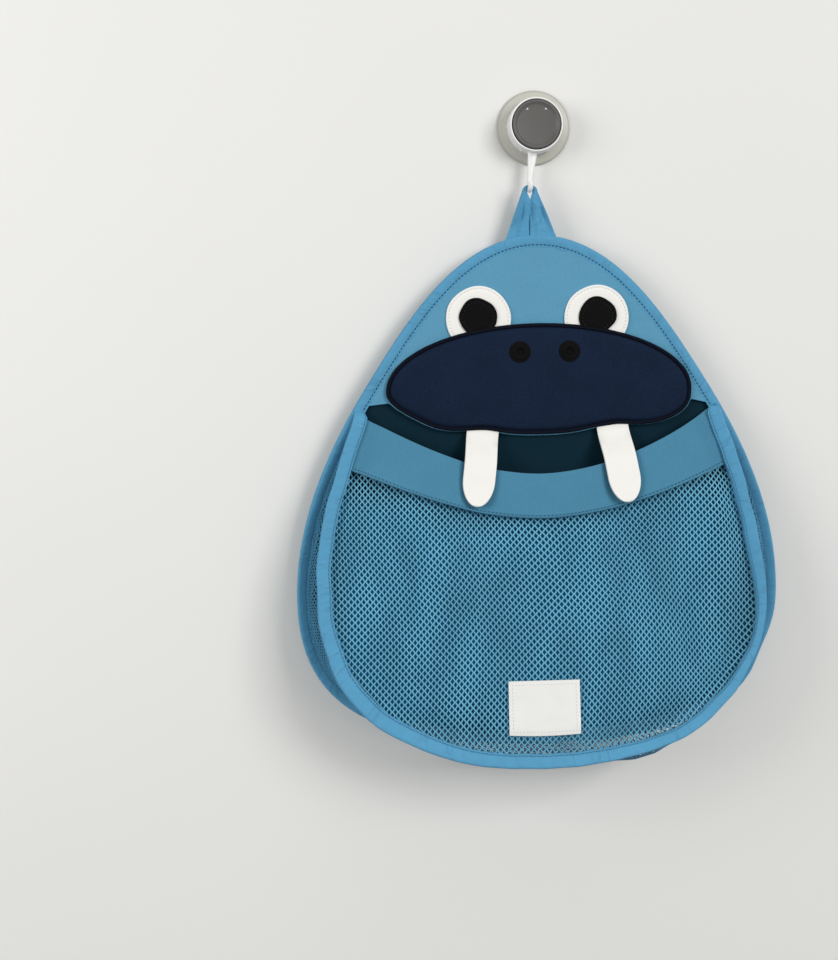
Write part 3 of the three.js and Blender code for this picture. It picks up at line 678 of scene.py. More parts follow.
class Pocket:
    """The pocket front: x across, t up its slope from the mouth corners, out towards the room."""

    # Soft folds of the hanging front: x at the top and the foot, half width, height,
    # and the shares of the pocket's height between which each one runs.
    FOLDS = (
        (-96 * MM, -100 * MM, 22 * MM, 2.6 * MM, -0.1, 0.5),
        (-45 * MM, -44 * MM, 14 * MM, -5.5 * MM, -0.1, 0.45),
        (8 * MM, 4 * MM, 20 * MM, 3.4 * MM, -0.1, 0.55),
        (57 * MM, 54 * MM, 14 * MM, -5 * MM, -0.1, 0.45),
        (95 * MM, 100 * MM, 24 * MM, 2.5 * MM, -0.1, 0.5),
        (-114 * MM, -92 * MM, 9 * MM, 3.4 * MM, 0.25, 0.75),
        (-92 * MM, -68 * MM, 10 * MM, -3 * MM, 0.25, 0.82),
        (-20 * MM, -32 * MM, 14 * MM, 2.2 * MM, 0.35, 0.82),
        (24 * MM, 36 * MM, 10 * MM, -2.6 * MM, 0.3, 0.75),
        (66 * MM, 60 * MM, 14 * MM, 2 * MM, 0.3, 0.75),
        (98 * MM, 104 * MM, 10 * MM, -2.6 * MM, 0.25, 0.8),
        (124 * MM, 130 * MM, 9 * MM, 3 * MM, 0.2, 0.7),
    )

    # How finely its half widths and its floor are measured.
    LEVELS = 1000
    COLUMNS = 240
    # Over what width the binding's lean changes, how far in it reaches, how far inside the edge
    # the cloth starts to swell, and the length over which both fade.
    LEAN_CHANGE = 100 * MM
    LEAN_REACH = 11 * MM
    SWELL_INSET = 8 * MM
    FADE = 16 * MM

    def __init__(self, sizes):
        corner = half_width(back_edge(sizes), POCKET_Z) - MOUTH_CORNER_INSET
        start = Vector((corner, 0))
        widest = Vector((sizes.bag_width / 2 - POCKET_NARROWING, -POCKET_WIDEST_DROP))
        base = Vector((0, -POCKET_HEIGHT))
        right = cubic(start, start + lean(CORNER_LEAN, CORNER_PULL),
                      widest + Vector((0, POCKET_FLANK_PULL)), widest)
        right += cubic(widest, widest - Vector((0, POCKET_HIP_PULL)),
                       base + Vector((POCKET_BASE_PULL, 0)), base)
        self.edge = right + [base] + mirrored(right)
        self.belly = sizes.belly
        self.facing = self.flat(0, 0, 1) - self.flat(0, 0)
        self.halves = [half_width(self.edge, min(-POCKET_HEIGHT * row / self.LEVELS, -HAIR))
                       for row in range(self.LEVELS + 1)]
        self.widest = max(self.halves)
        self.floors = []
        deepest = self.LEVELS
        for step in range(self.COLUMNS + 1):
            while deepest and self.halves[deepest] < self.widest * step / self.COLUMNS:
                deepest -= 1
            self.floors.append(-POCKET_HEIGHT * deepest / self.LEVELS)

    def half(self, t):
        """Half the width of the pocket front at this height."""
        return read_off(self.halves, -t / POCKET_HEIGHT)

    def margin(self, x, t):
        """How far inside the pocket's edge a point lies."""
        aside = max(self.half(t) - abs(x), HAIR)
        above = max(t - read_off(self.floors, abs(x) / self.widest), HAIR)
        return aside * above / math.hypot(aside, above)

    def flat(self, x, t, out=0.0):
        """Where a point of the flat pocket front lies."""
        return Vector((x, POCKET_Y + t * math.sin(POCKET_TILT) - out * math.cos(POCKET_TILT),
                       POCKET_Z + t * math.cos(POCKET_TILT) + out * math.sin(POCKET_TILT)))

    @staticmethod
    def cup(x):
        """How steeply the binding leans inwards here."""
        change = ease(x / Pocket.LEAN_CHANGE)
        return POCKET_CUP_LEFT + (POCKET_CUP_RIGHT - POCKET_CUP_LEFT) * change

    def relief(self, x, t):
        """How far the cloth swells and folds out from the flat front."""
        depth = min(max(-t / POCKET_HEIGHT, 0), 1)
        side = max(0, 1 - abs(x) / max(self.half(t), HAIR))
        margin = self.margin(x, t)
        near = 1 - ease((margin - self.LEAN_REACH) / self.FADE)
        dip = self.cup(x) * min(margin, self.LEAN_REACH) * near
        swell = self.belly * math.sin(math.pi * depth) * math.sqrt(side)
        for top, foot, width, height, first, last in self.FOLDS:
            share = (depth - first) / (last - first)
            if 0 < share < 1:
                away = (x - top - (foot - top) * share) / width
                swell += height * math.exp(-away * away) * math.sin(math.pi * share) ** 0.7
        return swell * ease((margin - self.SWELL_INSET) / self.FADE) - dip

    def cloth(self, x, t, out=0.0):
        """Where a point of the swelling pocket front lies."""
        return self.flat(x, t, out + self.relief(x, t))


def lip_top(share):
    pull = LIP_RIGHT_PULL * max(0, share) ** 5
    return LIP_TOP_START + pull - LIP_TOP_SAG * (1 - abs(share) ** LIP_CURVE)


def lip_foot(share):
    return LIP_FOOT_START - LIP_FOOT_SAG * (1 - abs(share) ** LIP_CURVE)


def swell_at(x, middle, width, height):
    """A soft swelling of a line about its middle."""
    return height * math.exp(-((x - middle) / width) ** 2)


def swells_at(x, table):
    """The sum of several swellings, each a row of middle, width and height."""
    return sum(swell_at(x, *row) for row in table)


def muzzle_edge(sizes, count=240):
    """Outer edge of the muzzle's piping, clockwise from its right end: fuller at the lower right,
    and pinched up where the tusks are sewn in."""
    half = sizes.muzzle_width / 2
    middle = BAG_TOP - MUZZLE_DROP
    line = []
    for index in range(count):
        angle = -math.tau * index / count
        across, up = math.cos(angle), math.sin(angle)
        if up >= 0:
            x, rise = half * across, MUZZLE_RISE * up
        else:
            power = 2 / (MUZZLE_FULLNESS_RIGHT if across > 0 else MUZZLE_FULLNESS_LEFT)
            x = half * math.copysign(abs(across) ** power, across)
            rise = -MUZZLE_FALL * abs(up) ** power + swells_at(x, MUZZLE_SWELLS)
        line.append(Vector((x + MUZZLE_SHIFT, middle + rise)))
    return spread(line, count, True)


def top_of(line, x):
    """The highest point of a closed line at this x."""
    heights = []
    for start, end in zip(line, line[1:] + line[:1]):
        low, high = min(start.x, end.x), max(start.x, end.x)
        if low <= x <= high and high > low:
            heights.append(start.lerp(end, (x - start.x) / (end.x - start.x)).y)
    return max(heights, default=-math.inf)


# Modelling


def clear_selection():
    if bpy.context.object and bpy.context.object.mode != "OBJECT":
        bpy.ops.object.mode_set(mode="OBJECT")
    bpy.ops.object.select_all(action="DESELECT")


def pick(piece):
    """Select this piece alone."""
    clear_selection()
    piece.select_set(True)
    bpy.context.view_layer.objects.active = piece


def new_piece(name, points, edges, faces):
    """A piece made of these points, edges and faces, selected."""
    mesh = bpy.data.meshes.new(name)
    mesh.from_pydata(points, edges, faces)
    piece = bpy.data.objects.new(name, mesh)
    bpy.context.collection.objects.link(piece)
    pick(piece)
    return piece


def on_whole_mesh(operator, **settings):
    """Use a mesh operator on the whole of the selected piece."""
    bpy.ops.object.mode_set(mode="EDIT")
    bpy.ops.mesh.select_all(action="SELECT")
    operator(**settings)
    bpy.ops.object.mode_set(mode="OBJECT")


def tidy_mesh(fill=True):
    """Merge the selected piece's doubles, close its ends and turn its faces outwards."""
    on_whole_mesh(bpy.ops.mesh.remove_doubles, threshold=2 * HAIR)
    if fill:
        on_whole_mesh(bpy.ops.mesh.fill_holes, sides=0)
    on_whole_mesh(bpy.ops.mesh.normals_make_consistent, inside=False)


def lay_grid(name, columns, rows, place, strip=None, fill=True):
    """A grid laid out as cloth: place(column, row) says where each crossing goes.

    strip is the cloth's real length and width, which its UV map then measures.
    """
    clear_selection()
    bpy.ops.mesh.primitive_grid_add(x_subdivisions=columns, y_subdivisions=rows, size=2)
    piece = bpy.context.object
    piece.name = name
    piece.data.name = name
    for vertex in piece.data.vertices:
        column = round((vertex.co.x + 1) / 2 * columns)
        row = round((vertex.co.y + 1) / 2 * rows)
        vertex.co = place(column, row)
    if strip:
        for corner in piece.data.uv_layers.active.data:
            corner.uv = (corner.uv[0] * strip[0], corner.uv[1] * strip[1])
    tidy_mesh(fill)
    return piece


def lay_panel(name, edge, rings, centre):
    """A closed soft panel. rings run from its back to its front, each the inset from the edge,
    the share of the way out from the centre, and the depth or a rule for it."""
    lines = {inset: drawn_in(edge, inset) for inset, _, _ in rings}

    def place(column, row):
        inset, share, depth = rings[row]
        x, z = centre.lerp(lines[inset][column % len(edge)], share)
        return Vector((x, depth(x, z) if callable(depth) else depth, z))

    return lay_grid(name, len(edge), len(rings) - 1, place)


def lay_tape(name, centres, inwards, outward, section, closed, waver,
             widen=lambda index: 1, push=lambda index: 0):
    """A tape swept along its edge: section points are insets from the edge and rises outwards.

    waver lifts the cloth a little, widen stretches the insets and push moves the tape outwards,
    all by the place along the tape.
    """
    count = len(centres)
    columns = count if closed else count - 1

    def place(column, row):
        index = column % count
        inset, rise = section[row % len(section)]
        lift = rise + waver(index, inset, rise)
        return centres[index] + inwards[index] * (inset * widen(index) - push(index)) + outward * lift

    length = line_length(centres, closed)
    girth = line_length([Vector(point) for point in section], True)
    return lay_grid(name, columns, len(section), place, strip=(length, girth), fill=not closed)


def spin_round(name, profile, centre, steps=96):
    """A turned piece: its profile of radius and depth, spun about the line towards the wall."""
    points = [(centre.x + radius, depth, centre.z) for radius, depth in profile]
    piece = new_piece(name, points, [(index, index + 1) for index in range(len(points) - 1)], [])
    on_whole_mesh(bpy.ops.mesh.spin, steps=steps, angle=math.tau,
                  center=(centre.x, 0, centre.z), axis=(0, 1, 0))
    tidy_mesh(fill=False)
    return piece


def join_pieces(name, first, *others):
    """Several modelled shapes as one piece."""
    clear_selection()
    for piece in (first, *others):
        piece.select_set(True)
    bpy.context.view_layer.objects.active = first
    bpy.ops.object.join()
    first.name = name
    first.data.name = name
    return first


def rounded(profile, radius, steps=4):
    """A profile whose inner corners are rounded off."""
    smooth = [Vector(profile[0])]
    for before, corner, after in zip(profile, profile[1:], profile[2:]):
        before, corner, after = Vector(before), Vector(corner), Vector(after)
        start = corner + (before - corner).normalized() * min(radius, (before - corner).length / 2)
        end = corner + (after - corner).normalized() * min(radius, (after - corner).length / 2)
        for step in range(steps + 1):
            t = step / steps
            smooth.append(start.lerp(corner, t).lerp(corner.lerp(end, t), t))
    return [tuple(point) for point in smooth + [Vector(profile[-1])]]


def lay_tube(name, path, radii, sides=16, across=Vector((1, 0, 0))):
    """A rod along a path in a plane; radii give its half width across and its half thickness."""
    ways = directions(path, False)

    def place(column, row):
        up = ways[column].cross(across).normalized()
        angle = math.tau * row / sides
        wide, thick = radii[column]
        return path[column] + across * (wide * math.cos(angle)) + up * (thick * math.sin(angle))

    return lay_grid(name, len(path) - 1, sides, place)


def dress(context, piece, finish_name, body, slot, *nodes, smooth=50):
    """Give a piece its finish, its soft shading, the body it rides on and what it stands for.

    A piece with no body is left unattached.
    """
    if not piece.data.materials:
        piece.data.materials.append(finish(context, finish_name))
    pick(piece)
    bpy.ops.object.shade_smooth_by_angle(angle=math.radians(smooth))
    if body:
        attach(piece, body)
    if nodes:
        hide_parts(*nodes)
    return piece


def sew(context, name, stitches, sizes, finish_name, slot, length=None, thread=None):
    """A row of stitches on the bag: each one the same short thread, copied to its place.

    A stitch is its place, the way it runs and the way it faces.
    """
    length = length or sizes.stitch_length
    thread = thread or sizes.thread
    clear_selection()
    bpy.ops.mesh.primitive_uv_sphere_add(segments=6, ring_count=4, radius=0.5)
    model = context.object
    points = [vertex.co.copy() for vertex in model.data.vertices]
    faces = [list(face.vertices) for face in model.data.polygons]
    bpy.ops.object.delete()
    corners, sides = [], []
    for middle, along, facing in stitches:
        side = facing.cross(along).normalized()
        first = len(corners)
        for point in points:
            corners.append(middle + along * (point.z * length) + side * (point.x * thread)
                           + facing * (point.y * thread))
        sides += [[first + index for index in face] for face in faces]
    row = new_piece(name, corners, [], sides)
    tidy_mesh(fill=False)
    dress(context, row, finish_name, "bag", slot, smooth=80)


def stitch_places(line, pitch, closed, facing):
    """Stitches spaced along a line of places."""
    count = max(2, round(line_length(line, closed) / pitch))
    even = spread(line, count, closed)
    return [(middle, along, facing) for middle, along in zip(even, directions(even, closed))]


def lay_mesh_cloth(name, sizes, columns, rows, inside, place):
    """Open mesh: a knot at every other crossing of a fine grid, tied to its four neighbours.

    inside(column, row) says which knots exist, and place(column, row, x, y, depth) where a point
    beside a knot lies. Each yarn has a ridge on both faces.
    """
    wide = sizes.mesh_across / 2 - sizes.hole_width / 2
    tall = sizes.mesh_down / 2 - sizes.hole_height / 2
    half = sizes.yarn_thickness / 2
    corners, faces, knots = [], [], {}
    for column in range(columns[0], columns[1] + 1):
        for row in range(rows[0], rows[1] + 1):
            if (column + row) % 2 or not inside(column, row):
                continue
            knots[column, row] = len(corners)
            for x, y, depth in ((wide, 0, 0), (0, tall, 0), (-wide, 0, 0), (0, -tall, 0),
                                (0, 0, half), (0, 0, -half)):
                corners.append(place(column, row, x, y, depth))
    east, north, west, south, front, back = range(6)
    quarters = (((1, 1), east, north, south, west), ((-1, 1), north, west, east, south),
                ((-1, -1), west, south, north, east), ((1, -1), south, east, west, north))
    for (column, row), a in knots.items():
        for (right, up), start, end, far_start, far_end in quarters:
            b = knots.get((column + right, row + up))
            for ridge in (front, back):
                if b is None:
                    faces.append((a + ridge, a + start, a + end))
                elif right > 0:
                    faces.append((a + ridge, a + start, b + far_start, b + ridge))
                    faces.append((a + ridge, b + ridge, b + far_end, a + end))
    cloth = new_piece(name, corners, [], faces)
    # The ridge attribute places the yarn's painted highlight; the yarn's sides get painted shade.
    ridge = cloth.data.attributes.new("ridge", "FLOAT", "POINT")
    ridge.data.foreach_set("value", [0, 0, 0, 0, 1, 1] * len(knots))
    on_whole_mesh(bpy.ops.mesh.normals_make_consistent, inside=False)
    return cloth, len(knots) * sizes.mesh_across * sizes.mesh_down / 2


# Operators


class ORGANIZER_OT_stage(bpy.types.Operator):
    """Set up the pale wall and floor, the soft lights and the camera"""
    bl_idname = "organizer.stage"
    bl_label = "Stage"

    # The wall's two upper heights, and the cove by which it runs out into the floor.
    WALL_Y = 1 * MM
    WALL_HEIGHTS = (2.2, 0.6)
    FLOOR_Z = -0.78
    REACH = 4.0
    COVE = 0.14
    COVE_STEPS = 12
    COLUMNS = 4
    # Each lamp's place, size and power, and the spot that all of them face.
    LAMPS = {
        "key_light": (Vector((1.9, -2.5, 0.9)), 1.4, 60),
        "fill_light": (Vector((-1.4, -0.95, 0.2)), 0.9, 12),
        "top_light": (Vector((0.1, -0.7, 1.3)), 0.9, 2),
    }
    LIT_SPOT = Vector((0, -0.02, -0.25))
    SKY_TINT = (0.97, 0.985, 1.0, 1)
    SKY_STRENGTH = 0.37
    SENSOR_WIDTH = 36
    CLIP_END = 50

    def execute(self, context):
        self.backdrop(context)
        self.lights(context)
        self.camera(context)
        context.scene.view_settings.view_transform = "Standard"
        return {"FINISHED"}

    def backdrop(self, context):
        profile = [(self.WALL_Y, height) for height in self.WALL_HEIGHTS]
        for step in range(self.COVE_STEPS + 1):
            angle = math.pi / 2 * step / self.COVE_STEPS
            profile.append((self.WALL_Y - self.COVE * (1 - math.cos(angle)),
                            self.FLOOR_Z + self.COVE * (1 - math.sin(angle))))
        profile.append((self.WALL_Y - self.REACH, self.FLOOR_Z))

        def place(column, row):
            y, z = profile[row]
            return Vector(((column / self.COLUMNS - 0.5) * 2 * self.REACH, y, z))

        wall = lay_grid("backdrop", self.COLUMNS, len(profile) - 1, place, fill=False)
        if wall.data.polygons[0].normal.y > 0:
            on_whole_mesh(bpy.ops.mesh.flip_normals)
        wall.data.materials.append(finish(context, "backdrop"))
        bpy.ops.object.shade_smooth_by_angle(angle=math.radians(40))

    def lights(self, context):
        world = bpy.data.worlds.new("studio")
        world.use_nodes = True
        sky = world.node_tree.nodes["Background"]
        sky.inputs["Color"].default_value = self.SKY_TINT
        sky.inputs["Strength"].default_value = self.SKY_STRENGTH
        context.scene.world = world
        for name, (place, size, power) in self.LAMPS.items():
            lamp = bpy.data.lights.new(name, "AREA")
            lamp.size = size
            lamp.energy = power
            light = bpy.data.objects.new(name, lamp)
            light.location = place
            light.rotation_euler = (self.LIT_SPOT - place).to_track_quat("-Z", "Y").to_euler()
            context.collection.objects.link(light)

    def camera(self, context):
        data = bpy.data.cameras.new("photo_camera")
        data.sensor_fit = "AUTO"
        data.sensor_width = self.SENSOR_WIDTH
        data.lens = data.sensor_width * FOCAL_PIXELS / IMAGE_HEIGHT
        data.clip_end = self.CLIP_END
        camera = bpy.data.objects.new("photo_camera", data)
        right = CAMERA_RIGHT.normalized()
        back = right.cross(CAMERA_UP).normalized()
        up = back.cross(right)
        turn = Matrix((right, up, back)).transposed().to_4x4()
        camera.matrix_world = Matrix.Translation(CAMERA_PLACE) @ turn
        context.collection.objects.link(camera)
        context.scene.camera = camera


class ORGANIZER_OT_suction_cup(bpy.types.Operator):
    """Turn the soft cup with its thin sealing rim and the boss that holds the stud"""
    bl_idname = "organizer.suction_cup"
    bl_label = "Suction cup"

    HOLLOW = 1.0 * MM
    RIM_THICK = 1.1 * MM
    BOSS_RADIUS = 9 * MM

    def execute(self, context):
        rim = CUP_HIGH.x
        front = CUP_LOW.y
        hollow = [(0, -self.HOLLOW), (rim - 6 * MM, -self.HOLLOW), (rim - 1.5 * MM, 0)]
        skirt = [(rim, -0.15 * MM), (rim, -self.RIM_THICK), (rim - 4 * MM, -2.3 * MM),
                 (17 * MM, -4.4 * MM)]
        boss = [(self.BOSS_RADIUS + 0.5 * MM, -4.6 * MM), (self.BOSS_RADIUS, front), (0, front)]
        profile = rounded(hollow + skirt + boss, 0.5 * MM)
        cup = spin_round("soft_cup", profile, Vector((0, 0, 0)))
        dress(context, cup, "cup_plastic", "hook", "cup_clear", "suction_cup", smooth=40)
        return {"FINISHED"}


class ORGANIZER_OT_hook_body(bpy.types.Operator):
    """Mould the white ring with its ribs, its web, its tapering arm and the curl"""
    bl_idname = "organizer.hook_body"
    bl_label = "Hook"

    RING_WALL = 2 * MM
    RING_TAPER = 0.9 * MM
    KNOB_PROUD = 1.2 * MM
    WEB_BORE = 4.2 * MM
    WEB_BACK = -9.5 * MM
    WEB_FRONT = -11.5 * MM
    ARM_STEPS = 12
    ARM_ROOT = -16.5 * MM
    ARM_Y = -10 * MM
    ARM_FLARE = 1.9 * MM
    ARM_HALF_THICK = 1.6 * MM
    # The curl's blunt tip: how far up, and the share of the rod's radius there.
    TIP = ((0.4 * MM, 1.02), (0.9 * MM, 1.0), (1.3 * MM, 0.9), (1.6 * MM, 0.68), (1.8 * MM, 0.4),
           (1.85 * MM, 0))
    # A rib stands out from the ring at its back and runs into it at its front.
    RIBS = 6
    RIB_WIDTH = 1.7 * MM
    RIB_LENGTH = 4.6 * MM
    RIB_Y = -7.8 * MM
    RIB_BACK = 0.5 * MM
    RIB_FRONT = -0.1 * MM
    RIB_ROOT = -1 * MM
    RIB_ROUND = 0.3 * MM

    def execute(self, context):
        outer, inner = HOOK_HIGH.x, HOOK_HIGH.x - self.RING_WALL
        back = HOOK_HIGH.y
        front = KNOB_LOW.y + self.KNOB_PROUD
        profile = rounded([
            (self.WEB_BORE, self.WEB_BACK), (inner, self.WEB_BACK), (inner, back), (outer, back),
            (outer - self.RING_TAPER, front), (inner, front), (inner, self.WEB_FRONT),
            (self.WEB_BORE, self.WEB_FRONT), (self.WEB_BORE, self.WEB_BACK)], 0.5 * MM)
        ring = spin_round("moulded_ring", profile, Vector((0, 0, 0)), steps=120)
        ribs = [self.rib(math.tau * index / self.RIBS, outer) for index in range(self.RIBS)]
        hook = join_pieces("moulded_hook", ring, self.arm(), *ribs)
        dress(context, hook, "hook_plastic", "hook", "hook_white", "hook_body", smooth=40)
        stud = bpy.data.objects["cup_stud"]
        stud.data.materials.clear()
        stud.data.materials.append(finish(context, "hook_plastic"))
        return {"FINISHED"}

    def arm(self):
        """The flat arm that narrows downwards, and the round curl with its blunt tip."""
        path, radii = [], []
        for step in range(self.ARM_STEPS + 1):
            share = step / self.ARM_STEPS
            path.append(Vector((0, self.ARM_Y, self.ARM_ROOT + (CURL_Z - self.ARM_ROOT) * share)))
            flare = self.ARM_FLARE * (1 - share) ** 1.6
            thick = self.ARM_HALF_THICK + (ROD_RADIUS - self.ARM_HALF_THICK) * share
            radii.append((ROD_RADIUS + flare, thick))
        for step in range(1, self.ARM_STEPS + 1):
            angle = math.pi * step / self.ARM_STEPS
            path.append(Vector((0, CURL_Y + CURL_RADIUS * math.cos(angle),
                                CURL_Z - CURL_RADIUS * math.sin(angle))))
            radii.append((ROD_RADIUS, ROD_RADIUS))
        tip = path[-1]
        for lift, share in self.TIP:
            path.append(tip + Vector((0, 0, lift)))
            radii.append((ROD_RADIUS * share, ROD_RADIUS * share))
        path = [HOOK_TURN @ point for point in path]
        return lay_tube("moulded_arm", path, radii, 20, HOOK_TURN @ Vector((1, 0, 0)))

    def rib(self, angle, radius):
        """A small grip rib on the ring's side, near the cup."""
        clear_selection()
        bpy.ops.mesh.primitive_cube_add(size=1)
        rib = bpy.context.object
        way = Vector((math.cos(angle), 0, math.sin(angle)))
        aside = Vector((-way.z, 0, way.x))
        for vertex in rib.data.vertices:
            across, deep, out = vertex.co
            rise = self.RIB_BACK if deep > 0 else self.RIB_FRONT
            reach = radius + (rise if out > 0 else self.RIB_ROOT)
            vertex.co = (way * reach + aside * (across * self.RIB_WIDTH)
                         + Vector((0, self.RIB_Y + deep * self.RIB_LENGTH, 0)))
        on_whole_mesh(bpy.ops.mesh.bevel, offset=self.RIB_ROUND, segments=2)
        tidy_mesh(fill=False)
        return rib


class ORGANIZER_OT_twist_knob(bpy.types.Operator):
    """Turn the dished grey knob and print its two small arrows"""
    bl_idname = "organizer.twist_knob"
    bl_label = "Twist knob"

    DISH = 1.5 * MM
    DISH_SLOPE = 0.17
    DISH_STEPS = 12
    RIM = 1.1 * MM
    ARROWS = (math.radians(122), math.radians(58))
    ARROW_INSET = 4.6 * MM
    ARROW_RADIUS = 1.05 * MM
    ARROW_THICK = 0.3 * MM
    ARROW_NARROW = 0.7

    def execute(self, context):
        radius = KNOB_HIGH.x
        front, back = KNOB_LOW.y, KNOB_HIGH.y
        face = front + self.DISH
        rim = radius - self.RIM
        profile = rounded([
            (3.4 * MM, back), (radius - 1 * MM, back), (radius, back - 1 * MM),
            (radius, front + 0.8 * MM), (radius - 0.8 * MM, front), (rim, front)], 0.4 * MM)
        for step in range(1, self.DISH_STEPS + 1):
            fall = step / self.DISH_STEPS
            profile.append((rim * (1 - self.DISH_SLOPE * fall), front + self.DISH * ease(fall)))
        profile.append((0, face))
        profile = [(0, back)] + profile
        knob = spin_round("dished_knob", profile, Vector((0, 0, 0)), steps=120)
        dress(context, knob, "knob_plastic", "knob", "knob_grey", "twist_knob", smooth=35)
        arrows = [self.arrow(angle, radius - self.ARROW_INSET, face - 0.05 * MM)
                  for angle in self.ARROWS]
        marks = join_pieces("knob_arrows", *arrows)
        dress(context, marks, "mark_paint", "knob", "knob_grey", smooth=30)
        return {"FINISHED"}

    def arrow(self, angle, radius, depth):
        """A small printed triangle that points away from the knob's top."""
        clear_selection()
        bpy.ops.mesh.primitive_cylinder_add(vertices=3, radius=self.ARROW_RADIUS,
                                            depth=self.ARROW_THICK)
        mark = bpy.context.object
        way = 1 if angle > math.pi / 2 else -1
        for vertex in mark.data.vertices:
            long, wide, thick = vertex.co.y, vertex.co.x, vertex.co.z
            turn = angle + way * long / radius
            reach = radius + wide * self.ARROW_NARROW
            vertex.co = Vector((reach * math.cos(turn), depth - thick, reach * math.sin(turn)))
        mark.data.update()
        tidy_mesh(fill=False)
        return mark


class ORGANIZER_OT_hanging_loop(bpy.types.Operator):
    """Fold the tape loop over the hook's curl, its legs gathered at the top and spread below"""
    bl_idname = "organizer.hanging_loop"
    bl_label = "Hanging loop"

    STEPS = 64
    SIDES = 28
    ARCH = 0.82
    TOP_HALF = 5.4 * MM
    THICK = 1.8 * MM
    SEAM = 5 * MM
    FLAT = (16 * MM, 76 * MM)
    STRIP = (86 * MM, 36 * MM)
    BEND = 3 * MM
    # Half the thickness of a gathered leg, what it loses at its foot and gains over the rod.
    LEG_HALF = 1.5 * MM
    LEG_FLATTENS = 0.7 * MM
    LEG_GATHERS = 0.9 * MM
    PLEAT = 1.6 * MM
    # The left leg and the right: how much wider its foot is than the solid, where its inner edge
    # starts, the phases of its two pleats, how far back it lies and how far its inner edge curls.
    LEGS = {-1: (1.02, -0.6 * MM, 2.2, 0.5, 1.0 * MM, 1.6 * MM),
            1: (1.14, 0.1 * MM, -0.4, 1.7, -1.2 * MM, -1.8 * MM)}

    def execute(self, context):
        loop = lay_grid("tape_loop", self.STEPS, self.SIDES, self.place, strip=self.STRIP)
        dress(context, loop, "binding_tape", None, "binding_blue", "hanging_loop", smooth=70)
        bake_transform(loop)
        return {"FINISHED"}

    def edges(self, rise, side):
        """Inner and outer edge of a leg, from its foot (0) to the top of the arch over the rod (1)."""
        rod = JOINTS["loop_swing"]
        spring = rod.z - 0.6 * MM
        foot = BAG_TOP - self.SEAM
        climb = min(rise / self.ARCH, 1)
        wider, part = self.LEGS[side][:2]
        base = (LOOP_HIGH.x - LOOP_LOW.x) / 2 * wider
        inner = part + (ROD_RADIUS - part) * ease((climb - 0.8) / 0.2)
        outer = base + (self.TOP_HALF - base) * climb
        height = foot + (spring - foot) * climb
        turn = max(0, (rise - self.ARCH) / (1 - self.ARCH)) * math.pi / 2
        points = []
        for reach, over in ((inner, ROD_RADIUS), (outer, ROD_RADIUS + self.THICK)):
            lift = (rod.z + over - spring) * math.sin(turn)
            points.append(Vector((rod.x + side * reach * math.cos(turn), rod.y, height + lift)))
        return points

    def place(self, column, row):
        share = column / self.STEPS
        side = -1 if share < 0.5 else 1
        rise = min(share, 1 - share) * 2
        inner, outer = self.edges(rise, side)
        open_out = max(0, 1 - rise / self.ARCH)
        turn = ease((rise - 0.84 * self.ARCH) / (1 - 0.84 * self.ARCH))
        thick = (self.LEG_HALF - self.LEG_FLATTENS * min(1, open_out * 1.6)
                 + self.LEG_GATHERS * turn)
        angle = math.tau * row / self.SIDES
        reach = math.cos(angle)
        broad, fine, apart, curled = self.LEGS[side][2:]
        pleat = math.sin(reach * 5.2 + broad) + 0.5 * math.sin(reach * 9.5 + fine)
        pleat *= self.PLEAT * min(1, open_out * 2.2) * min(1, 0.25 + rise * 1.6)
        apart += swell_at(reach, -1, 0.4, curled) * ease((rise - 0.1) / 0.25)
        y = thick * math.sin(angle) + pleat + apart * open_out
        return inner.lerp(outer, (1 + reach) / 2) + Vector((0, y, 0))


